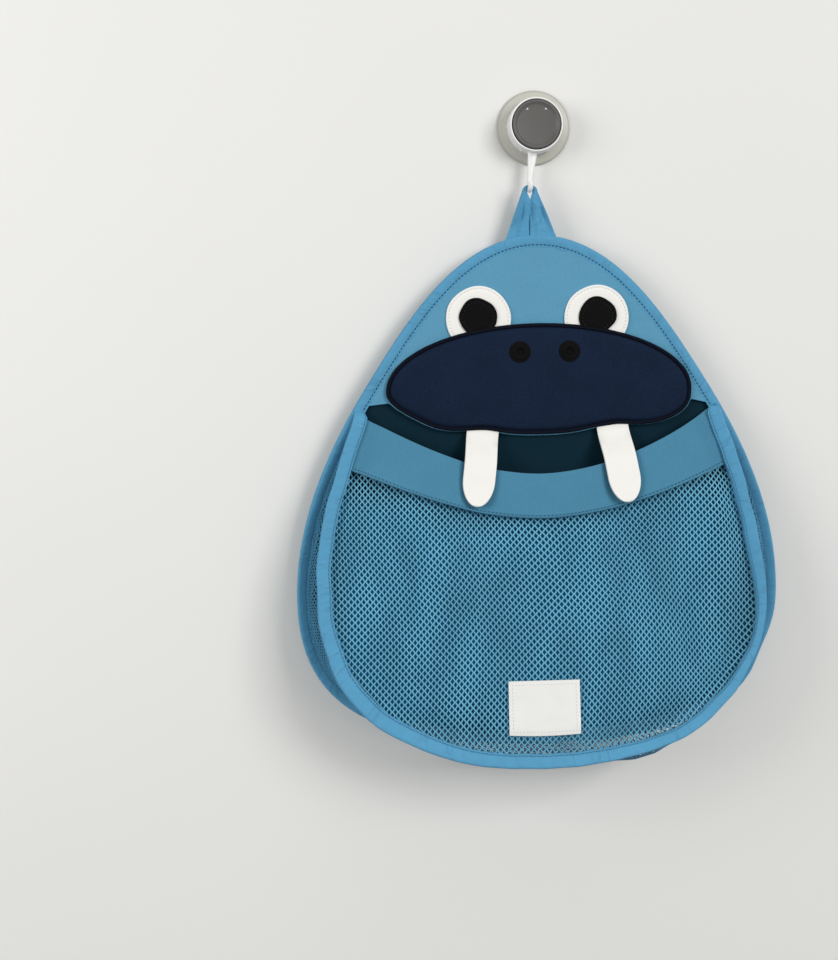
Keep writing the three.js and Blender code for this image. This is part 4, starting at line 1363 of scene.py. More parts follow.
class ORGANIZER_OT_panels(bpy.types.Operator):
    """Lay the neoprene back, with its lining side, and the head above the mouth"""
    bl_idname = "organizer.panels"
    bl_label = "Back and head"

    # How far the panels end inside the tape's edge, and how far the back waves.
    EDGE_INSET = 1.4 * MM
    WAVE = 0.5 * MM
    # The head runs on past the muzzle's lower edge, which starts this far below its middle.
    RUN_ON = 1.0 * MM
    BELOW_MUZZLE = 7 * MM
    HEAD_MIDDLE_DROP = 78 * MM

    def execute(self, context):
        sizes = context.scene.organizer_sizes
        self.back(context, sizes)
        self.head(context, sizes)
        return {"FINISHED"}

    def back(self, context, sizes):
        edge = drawn_in(spread(back_edge(sizes), 240, True), self.EDGE_INSET)
        back, front = BACK_HIGH.y, BACK_LOW.y
        shares = (0.12, 0.3, 0.5, 0.7, 0.85, 0.95)

        def wave(level):
            return lambda x, z: level + self.WAVE * noise.noise(Vector((x, 3, z)) * 14)

        rings = [(0, 0, wave(back))] + [(0, share, wave(back)) for share in shares]
        rings += [(0.4 * MM, 1, back), (0, 1, back - 0.6 * MM), (0, 1, front + 0.6 * MM),
                  (0.4 * MM, 1, front)]
        rings += [(0, share, wave(front)) for share in reversed(shares)] + [(0, 0, wave(front))]
        panel = lay_panel("neoprene_back", edge, rings, Vector((0, BAG_TOP - sizes.bag_height / 2)))
        panel.data.materials.append(finish(context, "neoprene_jersey"))
        panel.data.materials.append(finish(context, "lining_jersey"))
        middle = (back + front) / 2
        for face in panel.data.polygons:
            if face.center.y < middle:
                face.material_index = 1
        dress(context, panel, "neoprene_jersey", "bag", "neoprene_blue", "back_panel")
        area_of(edge)

    def head(self, context, sizes):
        inset = drawn_in(spread(back_edge(sizes), 400, True), self.EDGE_INSET)
        right = [point for point in inset[:200] if point.y > BAG_TOP - HEAD_DROP_RIGHT]
        left = [point for point in inset[:200] if point.y > BAG_TOP - HEAD_DROP_LEFT]
        middle = Vector((0, BAG_TOP - MUZZLE_DROP))
        lower = [point for point in muzzle_edge(sizes) if point.y < middle.y - self.BELOW_MUZZLE]
        lower = [point + (point - middle).normalized() * self.RUN_ON
                 for point in sorted(lower, key=lambda point: -point.x)]
        edge = spread(right + lower + mirrored(left), 300, True)
        back, front = HEAD_HIGH.y, HEAD_LOW.y
        centre = Vector((0, BAG_TOP - self.HEAD_MIDDLE_DROP))
        rings = [(0, 0, back), (0, 0.5, back), (0, 0.98, back), (0, 1, back - 0.5 * MM),
                 (0, 1, front + 0.5 * MM), (0, 0.99, front), (0, 0.9, front), (0, 0.7, front),
                 (0, 0.5, front), (0, 0.25, front), (0, 0, front)]
        panel = lay_panel("neoprene_head", edge, rings, centre)
        dress(context, panel, "neoprene_jersey", "bag", "neoprene_blue", "head_panel")
        area_of(edge)


class ORGANIZER_OT_bindings(bpy.types.Operator):
    """Fold the tape over the back's edge and over the pocket front's edge, and stitch both"""
    bl_idname = "organizer.bindings"
    bl_label = "Bindings"

    # Each tape's thickness at its rolled edge, how far inside its free edge it is sewn, and the
    # thickness of that edge; then how far the sewing puckers it.
    BACK_TAPE = (1.2 * MM, 1.6 * MM, 0.4 * MM)
    FRONT_TAPE = (1.0 * MM, 1.1 * MM, 0.75 * MM)
    PUCKER = 0.45 * MM
    # The front tape's ends run on past the pocket front. They are sewn down, narrower and sunk,
    # each over its own length.
    RUN_ON = 5.5 * MM
    END_SEWN = 7 * MM
    END_NARROWS = 5 * MM
    END_SINKS = 3.5 * MM
    END_DEPTH = 2.2 * MM
    # Where the front tape is wider or narrower, and where it runs further out or in: the share of
    # its length, the reach of the change in shares, and the change.
    FRONT_WIDTH = 1.06
    FRONT_WIDTHS = ((0.1, 0.035, -0.14), (0.24, 0.075, -0.44), (0.38, 0.06, -0.14),
                    (0.69, 0.1, 0.24))
    FRONT_RUNS = ((0.14, 0.06, -2.3 * MM), (0.36, 0.05, 3.2 * MM), (0.58, 0.05, 2.2 * MM),
                  (0.69, 0.075, 6 * MM), (0.87, 0.08, 1.6 * MM))
    FRONT_UNEVEN = 0.9 * MM
    TACK_LENGTH = 1.2 * MM
    TACK_THREAD = 0.5 * MM
    TACK_INSETS = (5 * MM, 6 * MM, 7 * MM, 8 * MM)

    def execute(self, context):
        sizes = context.scene.organizer_sizes
        self.back(context, sizes)
        self.front(context, sizes)
        return {"FINISHED"}

    @staticmethod
    def section(width, half, gap, sewn, hem):
        """Rolled edge, pressed row of sewing and thin free edge, out from the middle of the tape.

        gap is half the thickness of the cloth that the tape is folded over, sewn is how far the
        row of sewing runs inside the free edge, and hem is how thick that edge is.
        """
        free = gap + hem
        edge = 1.6 * MM
        front = [(width, gap + 0.1 * MM), (width + 0.1 * MM, free - 0.2 * MM),
                 (width - 0.25 * sewn, free), (width - 0.55 * sewn, free + 0.12 * MM),
                 (width - 0.78 * sewn, free), (width - sewn, free - 0.45 * MM),
                 (width - 1.25 * sewn, free), (width - 1.6 * sewn, free + 0.15 * MM),
                 (width * 0.5, half * 0.96), (1.5 * edge, half)]
        roll = []
        for step in range(9):
            angle = math.radians(90 - 22.5 * step)
            roll.append((edge - edge * math.cos(angle), half * math.sin(angle)))
        back = [(inset, -rise) for inset, rise in reversed(front)]
        inside = [(half * 0.55, -gap), (half * 0.4, 0), (half * 0.55, gap)]
        return front + roll + back + inside

    def pucker(self, seed, slack):
        """Small gathers that the sewing leaves in the tape, and its slacker waves."""
        def rule(index, inset, rise):
            swing = noise.noise(Vector((index * 0.31, inset * 120, seed)))
            swing += slack * noise.noise(Vector((index * 0.09, inset * 60, seed + 7)))
            return math.copysign(self.PUCKER * swing, rise)
        return rule

    def back(self, context, sizes):
        outer = spread(back_edge(sizes), 460, True)
        middle = (TAPE_LOW.y + TAPE_HIGH.y) / 2
        half = (TAPE_HIGH.y - TAPE_LOW.y) / 2
        centres = [Vector((point.x, middle, point.y)) for point in outer]
        inwards = [Vector((step.x, 0, step.y)) for step in inward(outer, True)]
        thick, sewn, hem = self.BACK_TAPE
        gap = half - thick
        section = self.section(sizes.back_tape, half, gap, sewn, hem)
        pucker = self.pucker(1, 0.7)
        facing = Vector((0, -1, 0))

        def waver(index, inset, rise):
            """The tape's face leans inwards, more so beside the pocket, where it covers one cloth."""
            cup = 0.05 + 0.2 * ease((POCKET_Z - outer[index].y) / (40 * MM))
            return pucker(index, inset, rise) - cup * max(0, inset - 2 * MM) * (rise > 0)

        tape = lay_tape("back_tape", centres, inwards, facing, section, True, waver)
        dress(context, tape, "binding_tape", "bag", "binding_blue", "back_binding", smooth=60)
        length = line_length(outer, True)
        rise, inset = gap + hem - 0.1 * MM, sizes.back_tape - sewn
        line = [centres[index] + inwards[index] * inset + facing * (rise + waver(index, inset, rise))
                for index in range(len(outer))]
        stitches = stitch_places(line, sizes.stitch_pitch, True, facing)
        head = [stitch for stitch in stitches if stitch[0].z > POCKET_Z]
        beside = [stitch for stitch in stitches if stitch[0].z <= POCKET_Z]
        sew(context, "back_tape_stitches", head, sizes, "blue_thread", "binding_blue")
        sew(context, "back_tape_seam", beside, sizes, "tape_thread", "binding_blue")

    def front(self, context, sizes):
        pocket = Pocket(sizes)
        edge = pocket.edge
        first = edge[0] - (edge[1] - edge[0]).normalized() * self.RUN_ON
        last = edge[-1] + (edge[-1] - edge[-2]).normalized() * self.RUN_ON
        outer = spread([first] + edge + [last], 320, False)
        half = POCKET_HALF_THICK
        thick, sewn, hem = self.FRONT_TAPE
        gap = half - thick
        section = self.section(sizes.front_tape, half, gap, sewn, hem)
        centres = [pocket.flat(point.x, point.y) for point in outer]
        origin = pocket.flat(0, 0)
        inwards = [pocket.flat(step.x, step.y) - origin for step in inward(outer, False)]
        facing = pocket.facing
        pucker = self.pucker(4, 1.5)
        count = len(outer)
        spacing = line_length(outer) / (count - 1)

        def from_end(index):
            return min(index, count - 1 - index) * spacing

        def whole(index):
            """From 0 at the tape's sewn-down ends to 1 along it."""
            return ease(from_end(index) / self.END_SEWN)

        def widen(index):
            wide = self.FRONT_WIDTH + swells_at(index / (count - 1), self.FRONT_WIDTHS)
            return wide * (1 - 0.35 * ease(1 - from_end(index) / self.END_NARROWS))

        def push(index):
            uneven = self.FRONT_UNEVEN * noise.noise(Vector((index * 0.11, 2, 6)))
            return swells_at(index / (count - 1), self.FRONT_RUNS) + uneven * whole(index)

        def waver(index, inset, rise):
            free = pucker(index, inset, rise) - pocket.cup(outer[index].x) * inset * widen(index)
            sink = self.END_DEPTH * ease(1 - from_end(index) / self.END_SINKS)
            pressed = -0.9 * half + 0.3 * (rise + half) - rise - sink
            return pressed + (free - pressed) * whole(index)

        tape = lay_tape("front_tape", centres, inwards, facing, section, False, waver, widen, push)
        dress(context, tape, "binding_tape", "bag", "binding_blue", "front_binding", smooth=60)
        line_length(outer)
        line = []
        for index in range(3, count - 3):
            rise = gap + hem - 0.15 * MM
            lift = rise + waver(index, sizes.front_tape - sewn, rise)
            inset = (sizes.front_tape - sewn) * widen(index) - push(index)
            line.append(centres[index] + inwards[index] * inset + facing * lift)
        stitches = stitch_places(line, sizes.stitch_pitch, False, facing)
        sew(context, "front_tape_stitches", stitches, sizes, "tape_thread", "binding_blue")
        tacks = []
        for index in (3, count - 6, count - 4):
            across = [centres[index] + inwards[index] * inset
                      + facing * (half + waver(index, inset, half) + 0.1 * MM)
                      for inset in self.TACK_INSETS]
            tacks += stitch_places(across, self.TACK_LENGTH, False, facing)
        sew(context, "corner_tacks", tacks, sizes, "pale_thread", "binding_blue",
            length=self.TACK_LENGTH, thread=self.TACK_THREAD)


class ORGANIZER_OT_pocket_mesh(bpy.types.Operator):
    """Knit the mesh of the pocket front and of the gusset behind it"""
    bl_idname = "organizer.pocket_mesh"
    bl_label = "Pocket mesh"

    # The front net ends under the tape and the lip, behind both. It hangs unevenly, most of all
    # away from its edges, and is pressed in along the lip's hem.
    TUCK = 4 * MM
    UNDER_LIP = 9 * MM
    BEHIND = -1.5 * MM
    LOOSE_REACH = 30 * MM
    DRIFT = 6 * MM
    DROP = 4 * MM
    HEM_REACH = 7 * MM
    HEM_DIP = 2 * MM
    # The gusset's seams inside the two tapes, and the shares of its length where its mesh ends.
    GUSSET_POINTS = 241
    BACK_SEAM = 0.9 * MM
    BACK_OVERLAP = 0.4 * MM
    FRONT_SEAM = -1 * MM
    FRONT_INSET = 3.5 * MM
    ENDS = (0.004, 0.996)
    # How it sags: all along, unevenly, and below a height in one place: x, reach and depth.
    SAG = 1.5 * MM
    UNEVEN_SAG = 1.2 * MM
    FLOOR_BELOW = -0.4
    FLOOR_SAG = (64 * MM, 38 * MM, 15 * MM)

    def execute(self, context):
        sizes = context.scene.organizer_sizes
        pocket = Pocket(sizes)
        self.front(context, sizes, pocket)
        self.gusset(context, sizes, pocket)
        return {"FINISHED"}

    def front(self, context, sizes, pocket):
        across, down = sizes.mesh_across / 2, sizes.mesh_down / 2

        def hem(x):
            return lip_foot(min(1, abs(x) / LIP_FOOT_HALF))

        def inside(column, row):
            x, t = column * across, row * down
            return (-POCKET_HEIGHT + self.TUCK < t < hem(x) + self.UNDER_LIP
                    and abs(x) < pocket.half(t) - self.TUCK)

        def place(column, row, x, y, depth):
            x, t = column * across + x, row * down + y
            loose = ease(pocket.margin(x, t) / self.LOOSE_REACH)
            drift = self.DRIFT * noise.noise(Vector((x * 14, t * 9, 3))) * loose
            drop = self.DROP * noise.noise(Vector((x * 12, t * 12, 8))) * loose
            dip = swell_at(t, hem(x), self.HEM_REACH, self.HEM_DIP)
            return pocket.cloth(x + drift, t + drop, self.BEHIND + depth - dip)

        columns = int(pocket.half(-POCKET_WIDEST_DROP) / across)
        rows = int(POCKET_HEIGHT / down)
        cloth, area = lay_mesh_cloth("pocket_net", sizes, (-columns, columns), (-rows, 0), inside,
                                     place)
        dress(context, cloth, "mesh_yarn", "bag", "mesh_blue", "front_mesh", smooth=70)
        2 * pocket.half(-POCKET_WIDEST_DROP)

    def gusset(self, context, sizes, pocket):
        across, down = sizes.mesh_across / 2, sizes.mesh_down / 2
        below = [point for point in back_edge(sizes) if point.y < POCKET_Z]
        back_seam = drawn_in(below, sizes.back_tape - self.BACK_OVERLAP, False)
        front_seam = drawn_in(pocket.edge, self.FRONT_INSET, False)
        seam_y = BACK_LOW.y - self.BACK_SEAM
        back_line = [Vector((point.x, seam_y, point.y))
                     for point in spread(back_seam, self.GUSSET_POINTS, False)]
        front_line = [pocket.flat(point.x, point.y, self.FRONT_SEAM)
                      for point in spread(front_seam, self.GUSSET_POINTS, False)]
        length = (line_length(back_line) + line_length(front_line)) / 2
        centre = Vector((0, POCKET_Y, POCKET_Z - POCKET_HEIGHT / 2))

        def width(share):
            return (read_off(back_line, share) - read_off(front_line, share)).length

        def inside(column, row):
            share = column * across / length
            return self.ENDS[0] < share < self.ENDS[1] and 0 <= row * down <= width(share)

        def place(column, row, x, y, depth):
            share = (column * across + x) / length
            back, front = read_off(back_line, share), read_off(front_line, share)
            step = min(max((row * down + y) / max(width(share), HAIR), 0), 1)
            here = back.lerp(front, step)
            away = Vector((here.x - centre.x, 0, here.z - centre.z)).normalized()
            sag = self.SAG + swell_at(here.x, *self.FLOOR_SAG) * (here.z < self.FLOOR_BELOW)
            sag += self.UNEVEN_SAG * noise.noise(Vector((share * 60, step * 3, 5)))
            return here + away * (sag * 4 * step * (1 - step) + depth)

        columns = int(length / across)
        rows = int(max(width(index / 100) for index in range(101)) / down)
        cloth, area = lay_mesh_cloth("gusset_net", sizes, (0, columns), (0, rows), inside, place)
        dress(context, cloth, "gusset_yarn", "bag", "mesh_blue", "gusset_mesh", smooth=70)


class ORGANIZER_OT_lip(bpy.types.Operator):
    """Lay the neoprene band under the mouth, with its stitched hem"""
    bl_idname = "organizer.lip"
    bl_label = "Lip band"

    COLUMNS = 120
    HALF_THICK = 1.15 * MM
    # The seam's place down the band, and how far it and the rolled hem beside it go in and out.
    SEWN = 0.952
    SEAM_DIP = 0.5 * MM
    HEM_ROLL = 0.4 * MM
    # How far in the binding covers the band, how soon it is free there, and how far it is pressed.
    UNDER_TAPE = 11 * MM
    FREE_AFTER = 9 * MM
    PRESSED = 0.6 * MM
    # How far the hem stands off the mesh, how much further on the left, and the band's slant.
    FLARE = 1 * MM
    FLARE_LEFT = 1.4 * MM
    SLANT = 0.5 * MM

    def execute(self, context):
        sizes = context.scene.organizer_sizes
        pocket = Pocket(sizes)
        columns, sewn, half = self.COLUMNS, self.SEWN, self.HALF_THICK
        section = [(down, half) for down in (
            0, 0.03, 0.1, 0.22, 0.36, 0.5, 0.64, 0.76, 0.86, 0.915, 0.938, sewn, 0.964, 0.98, 0.992)]
        section += [(1.004, 0.6 * half), (1.008, -0.1 * half), (1.0, -half)]
        section += [(row / 4, -half) for row in range(3, -1, -1)]
        section += [(-0.008, -0.4 * half), (-0.008, 0.4 * half)]

        def spot(share, row):
            """x and t on the band: share across from -1 to 1, row from the mouth to the hem."""
            x = share * (LIP_TOP_HALF + (LIP_FOOT_HALF - LIP_TOP_HALF) * row)
            return x, lip_top(share) + (lip_foot(share) - lip_top(share)) * row

        def lie(x, t, out):
            """The band's sides are pressed flat under the binding."""
            pressed = min(out, half) - self.PRESSED
            loose = ease((pocket.margin(x, t) - self.UNDER_TAPE) / self.FREE_AFTER)
            return pocket.cloth(x, t, pressed + (out - pressed) * loose)

        def flare(share, down):
            """The hem stands off the mesh, most of all on the left."""
            out = self.FLARE + self.FLARE_LEFT * ease((-share - 0.25) / 0.3)
            return swell_at(down, 1, 0.06, out)

        def place(column, row):
            share = (column / columns * 2 - 1) * 1.02
            down, out = section[row % len(section)]
            x, t = spot(share, down)
            roll = 0.0
            if out > 0:
                roll = swells_at(down, ((0.98, 0.016, self.HEM_ROLL), (sewn, 0.012, -self.SEAM_DIP)))
            return lie(x, t, out + roll + flare(share, down) + self.SLANT * down)

        band = lay_grid("neoprene_lip", columns, len(section), place)
        # The band's finish is painted darker than the neoprene, as shade.
        dress(context, band, "lip_jersey", "bag", "neoprene_blue", "lip_band", smooth=60)
        top = [Vector(spot(step / 40 - 1, 0)) for step in range(81)]
        foot = [Vector(spot(1 - step / 40, 1)) for step in range(81)]
        area_of(top + foot)
        line = []
        for step in range(161):
            share = (step / 80 - 1) * 0.97
            x, t = spot(share, sewn)
            line.append(lie(x, t, half + flare(share, sewn) - 0.02 * MM))
        stitches = stitch_places(line, sizes.stitch_pitch, False, pocket.facing)
        sew(context, "lip_stitches", stitches, sizes, "blue_thread", "neoprene_blue")
        return {"FINISHED"}


class ORGANIZER_OT_label(bpy.types.Operator):
    """Sew the bare label on the mesh"""
    bl_idname = "organizer.label"
    bl_label = "Label"

    WIDTH = 50 * MM
    HEIGHT = 37.3 * MM
    SHIFT = -3.5 * MM
    RISE = 23.5 * MM
    THICK = 0.8 * MM
    COLUMNS = 24
    ROWS = 18
    # How far it lies over the net, how unevenly, and how far its lower edge bows.
    OVER = 0.35 * MM
    LIFT = 0.5 * MM
    LOWEST = -0.1 * MM
    BOW = 0.9 * MM
    # The seam's insets, as shares of the width and of the height, and its pitch.
    SEAM = (0.055, 0.0715)
    PITCH = 2.3 * MM

    def execute(self, context):
        sizes = context.scene.organizer_sizes
        pocket = Pocket(sizes)
        middle = -POCKET_HEIGHT + self.RISE + self.HEIGHT / 2
        section = [(row / self.ROWS, self.THICK) for row in range(self.ROWS + 1)]
        section += [(1.004, self.THICK / 2), (1, 0)] + [(row / 3, 0) for row in (2, 1, 0)]
        section += [(-0.004, self.THICK / 2)]

        def lie(share, down, out):
            """A point of the label on the swelling net: shares of its width and height, and out."""
            bow = self.BOW * (1 - (2 * share - 1) ** 2) * down
            x = self.SHIFT + (share - 0.5) * self.WIDTH
            t = middle + (0.5 - down) * self.HEIGHT - bow
            lift = self.LIFT * noise.noise(Vector((x * 60, t * 60, 2)))
            return pocket.cloth(x, t, self.OVER + out + max(lift, self.LOWEST))

        def place(column, row):
            return lie(column / self.COLUMNS, *section[row % len(section)])

        label = lay_grid("woven_label", self.COLUMNS, len(section), place)
        dress(context, label, "label_weave", "bag", "label_white", "sewn_label", smooth=50)
        aside, down = self.SEAM
        corners = [(aside, down), (1 - aside, down), (1 - aside, 1 - down), (aside, 1 - down)]
        stitches = []
        for start, end in zip(corners, corners[1:] + corners[:1]):
            line = [lie(start[0] + (end[0] - start[0]) * step / 20,
                        start[1] + (end[1] - start[1]) * step / 20, self.THICK + 0.05 * MM)
                    for step in range(21)]
            stitches += stitch_places(line, self.PITCH, False, pocket.facing)[:-1]
        sew(context, "label_stitches", stitches, sizes, "white_thread", "label_white",
            length=1.3 * MM, thread=0.42 * MM)
        return {"FINISHED"}


class ORGANIZER_OT_eyes(bpy.types.Operator):
    """Cut the felt eyes and pupils, tucked under the muzzle, and stitch them"""
    bl_idname = "organizer.eyes"
    bl_label = "Eyes"

    # How uneven the cut is, how far inside it the seam runs and how deep the seam is pressed.
    WHITE = {"uneven": 0.025, "seam": 2 * MM, "press": 0.35 * MM,
             "cloth": "white_felt", "thread": "white_thread", "slot": "felt_white"}
    PUPIL = {"uneven": 0.1, "seam": 2.8 * MM, "press": 0.5 * MM,
             "cloth": "black_felt", "thread": "dark_thread", "slot": "felt_black"}
    POINTS = 144
    TUCK = 2.2 * MM
    PITCH = 2.4 * MM

    def execute(self, context):
        sizes = context.scene.organizer_sizes
        muzzle = muzzle_edge(sizes)
        for side, way in SIDES:
            white_y = HEAD_LOW.y - 0.05 * MM
            eye = Vector((way * EYE_SPACING / 2, BAG_TOP - EYE_DROP))
            self.disc(context, sizes, f"eye_white_{side}", eye, EYE_DIAMETER / 2, muzzle, white_y,
                      way, **self.WHITE)
            pupil = Vector((way * PUPIL_SPACING / 2, BAG_TOP - PUPIL_DROP))
            self.disc(context, sizes, f"pupil_{side}", pupil, PUPIL_DIAMETER / 2, muzzle,
                      white_y - EYE_FELT, way + 4, **self.PUPIL)
        return {"FINISHED"}

    def disc(self, context, sizes, node, centre, radius, muzzle, back, seed,
             uneven, seam, press, cloth, thread, slot):
        """A felt disc, cut by hand and slightly uneven, with a pressed ring of sewing."""
        edge = []
        for step in range(self.POINTS):
            angle = -math.tau * step / self.POINTS
            way = Vector((math.cos(angle), math.sin(angle)))
            cut = 1 + uneven * noise.noise(Vector((way.x * 1.3, way.y * 1.3, seed * 3.1)))
            point = centre + way * (radius * cut)
            point.y = max(point.y, top_of(muzzle, point.x) - self.TUCK)
            edge.append(point)
        front = back - EYE_FELT

        def ring(inset, depth):
            return (0, 1 - inset / radius, depth)

        rings = [(0, 0, back), (0, 0.6, back), ring(0.2 * MM, back), ring(0, back - 0.4 * EYE_FELT),
                 ring(0, front + 0.35 * EYE_FELT), ring(0.25 * MM, front + 0.12 * EYE_FELT),
                 ring(0.7 * MM, front), ring(seam - 0.8 * MM, front - 0.05 * MM),
                 ring(seam - 0.2 * MM, front + press), ring(seam + 0.2 * MM, front + press),
                 ring(seam + 0.9 * MM, front - 0.05 * MM), ring(seam + 2 * MM, front - 0.1 * MM),
                 (0, 0.4, front - 0.15 * MM), (0, 0, front - 0.15 * MM)]
        piece = lay_panel(f"felt_{node}", edge, rings, centre)
        dress(context, piece, cloth, "bag", slot, node, smooth=60)
        area_of(edge)
        sewn = [centre.lerp(point, 1 - seam / radius) for point in edge]
        line = [Vector((point.x, front + press, point.y)) for point in sewn
                if point.y > top_of(muzzle, point.x) + 0.5 * MM]
        start = max(range(len(line)), key=lambda i: (line[i] - line[i - 1]).length)
        line = line[start:] + line[:start]
        stitches = stitch_places(line, self.PITCH, False, Vector((0, -1, 0)))
        sew(context, f"stitches_{node}", stitches, sizes, thread, slot,
            length=1.5 * MM, thread=0.45 * MM)


class ORGANIZER_OT_muzzle(bpy.types.Operator):
    """Pad the navy muzzle, pipe its edge and set the two nostril buttons on it"""
    bl_idname = "organizer.muzzle"
    bl_label = "Muzzle"

    # How high the padding stands at its rim, how far its crown stays below the solid's, and the
    # softness of its face.
    RIM_RISE = 2.6 * MM
    CROWN_REST = 0.1 * MM
    SOFT = 0.5 * MM

    def execute(self, context):
        sizes = context.scene.organizer_sizes
        edge = muzzle_edge(sizes)
        self.pad(context, sizes, edge)
        self.piping(context, edge)
        for side, way in SIDES:
            self.nostril(context, side, way)
        return {"FINISHED"}

    def pad(self, context, sizes, edge):
        back = FACE_Y
        low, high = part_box("muzzle")
        crown = high.y - low.y - self.RIM_RISE - self.CROWN_REST
        half = sizes.muzzle_width / 2
        middle = Vector((0, BAG_TOP - MUZZLE_DROP))

        def front(x, z):
            rise = MUZZLE_RISE if z > middle.y else MUZZLE_FALL
            out = min(1, (x / half) ** 2 + ((z - middle.y) / rise) ** 2)
            soft = self.SOFT * noise.noise(Vector((x, 1, z)) * 22)
            return back - self.RIM_RISE - crown * (1 - out ** 1.6) + soft * (1 - out)

        seam = PIPING_RADIUS
        rings = [(seam, 0, back), (seam, 0.5, back), (seam, 1, back),
                 (seam, 1, back - 0.4 * MM), (seam + 0.8 * MM, 1, back - 0.8 * MM),
                 (seam + 1.5 * MM, 1, back - 1.4 * MM), (seam + 2.2 * MM, 1, back - 2.1 * MM)]
        rings += [(seam + 3.2 * MM, share, front)
                  for share in (1, 0.95, 0.88, 0.8, 0.7, 0.58, 0.45, 0.3, 0.15, 0)]
        pad = lay_panel("padded_muzzle", edge, rings, middle)
        dress(context, pad, "muzzle_jersey", "bag", "neoprene_navy", "muzzle", smooth=70)

    def piping(self, context, edge):
        line = drawn_in(edge, PIPING_RADIUS)
        steps = inward(edge, True)
        level = FACE_Y - PIPING_RADIUS
        sides = 14

        def place(column, row):
            index = column % len(line)
            angle = math.tau * row / sides
            swell = 1 + 0.06 * noise.noise(Vector((index * 0.4, 0, 9)))
            side = steps[index] * (math.cos(angle) * PIPING_RADIUS * swell)
            return Vector((line[index].x + side.x,
                           level - math.sin(angle) * PIPING_RADIUS * swell,
                           line[index].y + side.y))

        strip = (line_length(line, True), math.tau * PIPING_RADIUS)
        piping = lay_grid("piped_edge", len(line), sides, place, strip=strip, fill=False)
        dress(context, piping, "piping_tape", "bag", "piping_black", "muzzle_piping", smooth=80)

    def nostril(self, context, side, way):
        low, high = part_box(f"nostril_{side}")
        centre = Vector((NOSTRIL_SHIFT + way * NOSTRIL_SPACING / 2, 0, BAG_TOP - NOSTRIL_DROP))
        base, top = high.y + 0.6 * MM, low.y
        profile = rounded([
            (0, base), (NOSTRIL_RADIUS, base), (NOSTRIL_RADIUS, base - 1.4 * MM),
            (NOSTRIL_RADIUS - 1.0 * MM, top + 1.1 * MM), (NOSTRIL_RADIUS - 2.4 * MM, top + 1.3 * MM),
            (NOSTRIL_RADIUS - 3.2 * MM, top), (NOSTRIL_RADIUS - 4.6 * MM, top),
            (NOSTRIL_RADIUS - 5.4 * MM, top + 1.8 * MM), (0, top + 1.6 * MM)], 0.6 * MM)
        button = spin_round(f"felt_nostril_{side}", profile, centre, steps=48)
        dress(context, button, "black_felt", "bag", "felt_black", f"nostril_{side}", smooth=60)


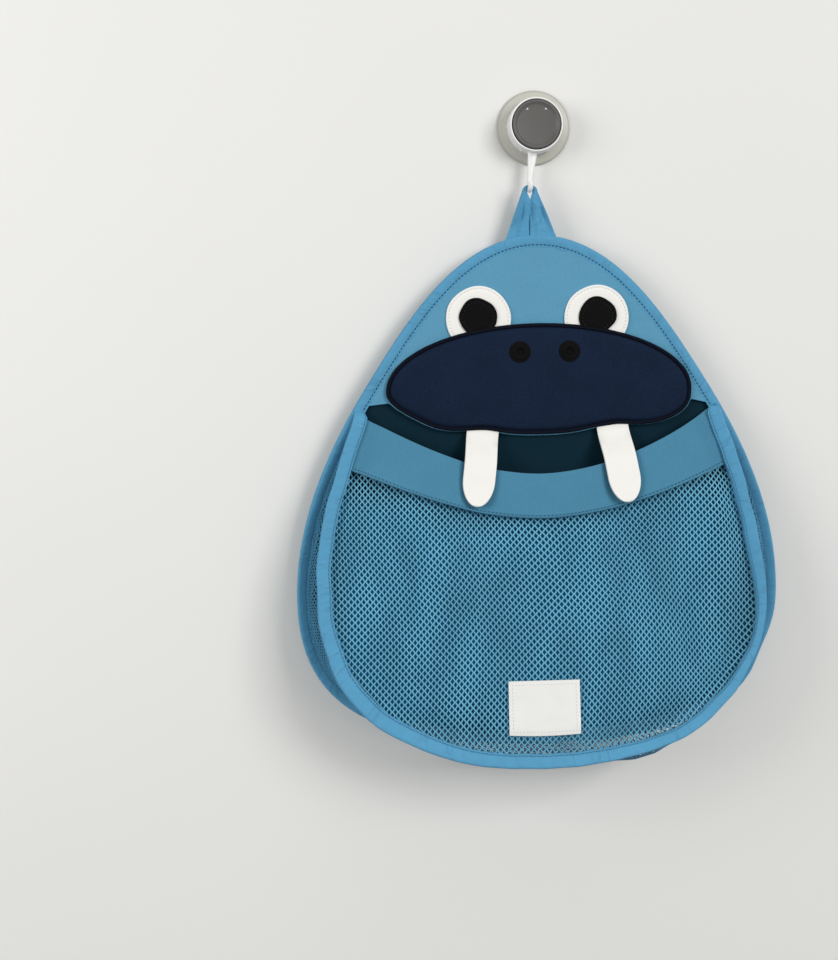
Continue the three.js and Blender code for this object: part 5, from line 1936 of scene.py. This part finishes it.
class ORGANIZER_OT_tusks(bpy.types.Operator):
    """Hang the two felt tusks from under the muzzle, over the lip"""
    bl_idname = "organizer.tusks"
    bl_label = "Tusks"

    STEPS = 52
    # Where the felt lies: its sewn end before the head, its free end over the lip, how far above
    # the lip's edge it gets there, and how softly it turns at its seam and over the lip.
    SEWN_OUT = 0.7 * MM
    OVER_LIP = 1.6 * MM
    MEETS_ABOVE = 3 * MM
    SEAM_TURN = 3 * MM
    LIP_TURN = 2.5 * MM
    # What is trimmed off its width at its faces and next to its middle, to round its edges.
    TRIM = -0.35 * MM
    FINE_TRIM = -0.08 * MM
    # Where the flap's bend begins above the hinge and ends below it.
    BEND_ABOVE = 2 * MM
    BEND_BELOW = 5 * MM

    def execute(self, context):
        pocket = Pocket(context.scene.organizer_sizes)
        for side, way in SIDES:
            self.tusk(context, pocket, side, way, JOINTS[f"tusk_{side}_lift"])
        return {"FINISHED"}

    def tusk(self, context, pocket, side, way, hinge):
        low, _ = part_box(f"tusk_{side}")
        length = (hinge.z - low.z) / math.cos(TUSK_SPLAY)
        half = TUSK_FELT / 2
        sewn_y = HEAD_LOW.y - self.SEWN_OUT

        def over_lip(x, height):
            """How far out the felt lies where it rests on the lip."""
            t = (height - POCKET_Z) / math.cos(POCKET_TILT)
            beside = 1.3 * TUSK_WIDTH / 2
            return min(pocket.cloth(x + aside, t, self.OVER_LIP + half).y
                       for aside in (-beside, 0, beside))

        share = abs(hinge.x) / LIP_TOP_HALF
        meet = hinge.z - POCKET_Z - lip_top(share) * math.cos(POCKET_TILT) - self.MEETS_ABOVE
        lean_out = (sewn_y - over_lip(hinge.x, hinge.z - meet)) / meet

        def route(reach):
            """Middle of the felt, this far below its sewn edge."""
            x = hinge.x + way * math.sin(TUSK_SPLAY) * reach
            drop = math.cos(TUSK_SPLAY) * reach
            free = sewn_y - lean_out * (drop + math.hypot(drop, self.SEAM_TURN)) / 2
            rest = over_lip(x, hinge.z - drop)
            soft = self.LIP_TURN
            y = (free + rest + math.sqrt((free - rest) ** 2 + soft ** 2)) / 2
            return Vector((x, y - soft ** 2 / (4 * max(free - rest, soft)), hinge.z - drop))

        def half_wide(reach):
            past = max(0, (reach - (length - TUSK_ROUND_END)) / TUSK_ROUND_END)
            return TUSK_WIDTH / 2 * math.sqrt(max(0, 1 - past ** 2))

        turned = Vector((math.cos(TUSK_SPLAY), 0, way * math.sin(TUSK_SPLAY)))
        across = (-1, -0.5, 0, 0.5, 1)
        section = []
        for face in (1, -1):
            section += [(face * share, self.TRIM, face) for share in across]
            section += [(face, self.FINE_TRIM, 0.6 * face), (face, 0, 0),
                        (face, self.FINE_TRIM, -0.6 * face)]

        def place(column, row):
            reach = -TUSK_TUCK + (length + TUSK_TUCK) * (1 - (1 - column / self.STEPS) ** 1.5)
            along = route(reach + 0.5 * MM) - route(reach - 0.5 * MM)
            facing = turned.cross(along).normalized()
            if facing.y > 0:
                facing = -facing
            aside, trim, out = section[row % len(section)]
            wide = max(0, half_wide(reach) * abs(aside) + trim * (abs(aside) == 1))
            tip = min(1, (length - reach) / (0.6 * MM))
            press = 0.5 + 0.5 * min(1, max(0, (reach + 3 * MM) / (10 * MM)))
            depth = half * out * max(0.25, tip) * press
            return route(reach) + turned * math.copysign(wide, aside) + facing * depth

        tusk = lay_grid(f"felt_tusk_{side}", self.STEPS, len(section), place)
        dress(context, tusk, "white_felt", None, "felt_white", f"tusk_{side}", smooth=60)
        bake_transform(tusk)


CHAIN = (ORGANIZER_OT_stage, ORGANIZER_OT_suction_cup, ORGANIZER_OT_hook_body,
         ORGANIZER_OT_twist_knob, ORGANIZER_OT_hanging_loop, ORGANIZER_OT_panels,
         ORGANIZER_OT_bindings, ORGANIZER_OT_pocket_mesh, ORGANIZER_OT_lip, ORGANIZER_OT_label,
         ORGANIZER_OT_eyes, ORGANIZER_OT_muzzle, ORGANIZER_OT_tusks)


class ORGANIZER_PT_pieces(bpy.types.Panel):
    """Pieces of the organizer, in the order in which they are made"""
    bl_idname = "ORGANIZER_PT_pieces"
    bl_label = "Bath Toy Organizer"
    bl_space_type = "VIEW_3D"
    bl_region_type = "UI"
    bl_category = "Organizer"

    def draw(self, context):
        for settings in (context.scene.organizer_sizes, context.scene.organizer_colours):
            box = self.layout.box()
            for name in settings.__annotations__:
                box.prop(settings, name)
        for step in CHAIN:
            self.layout.operator(step.bl_idname)


CLASSES = (OrganizerSizes, OrganizerColours, *CHAIN, ORGANIZER_PT_pieces)


def register():
    for item in CLASSES:
        bpy.utils.register_class(item)
    bpy.types.Scene.organizer_sizes = PointerProperty(type=OrganizerSizes)
    bpy.types.Scene.organizer_colours = PointerProperty(type=OrganizerColours)


def unregister():
    del bpy.types.Scene.organizer_colours
    del bpy.types.Scene.organizer_sizes
    for item in reversed(CLASSES):
        bpy.utils.unregister_class(item)


def main():
    register()
    for step in CHAIN:
        group, name = step.bl_idname.split(".")
        getattr(getattr(bpy.ops, group), name)()


if __name__ == "__main__":
    main()
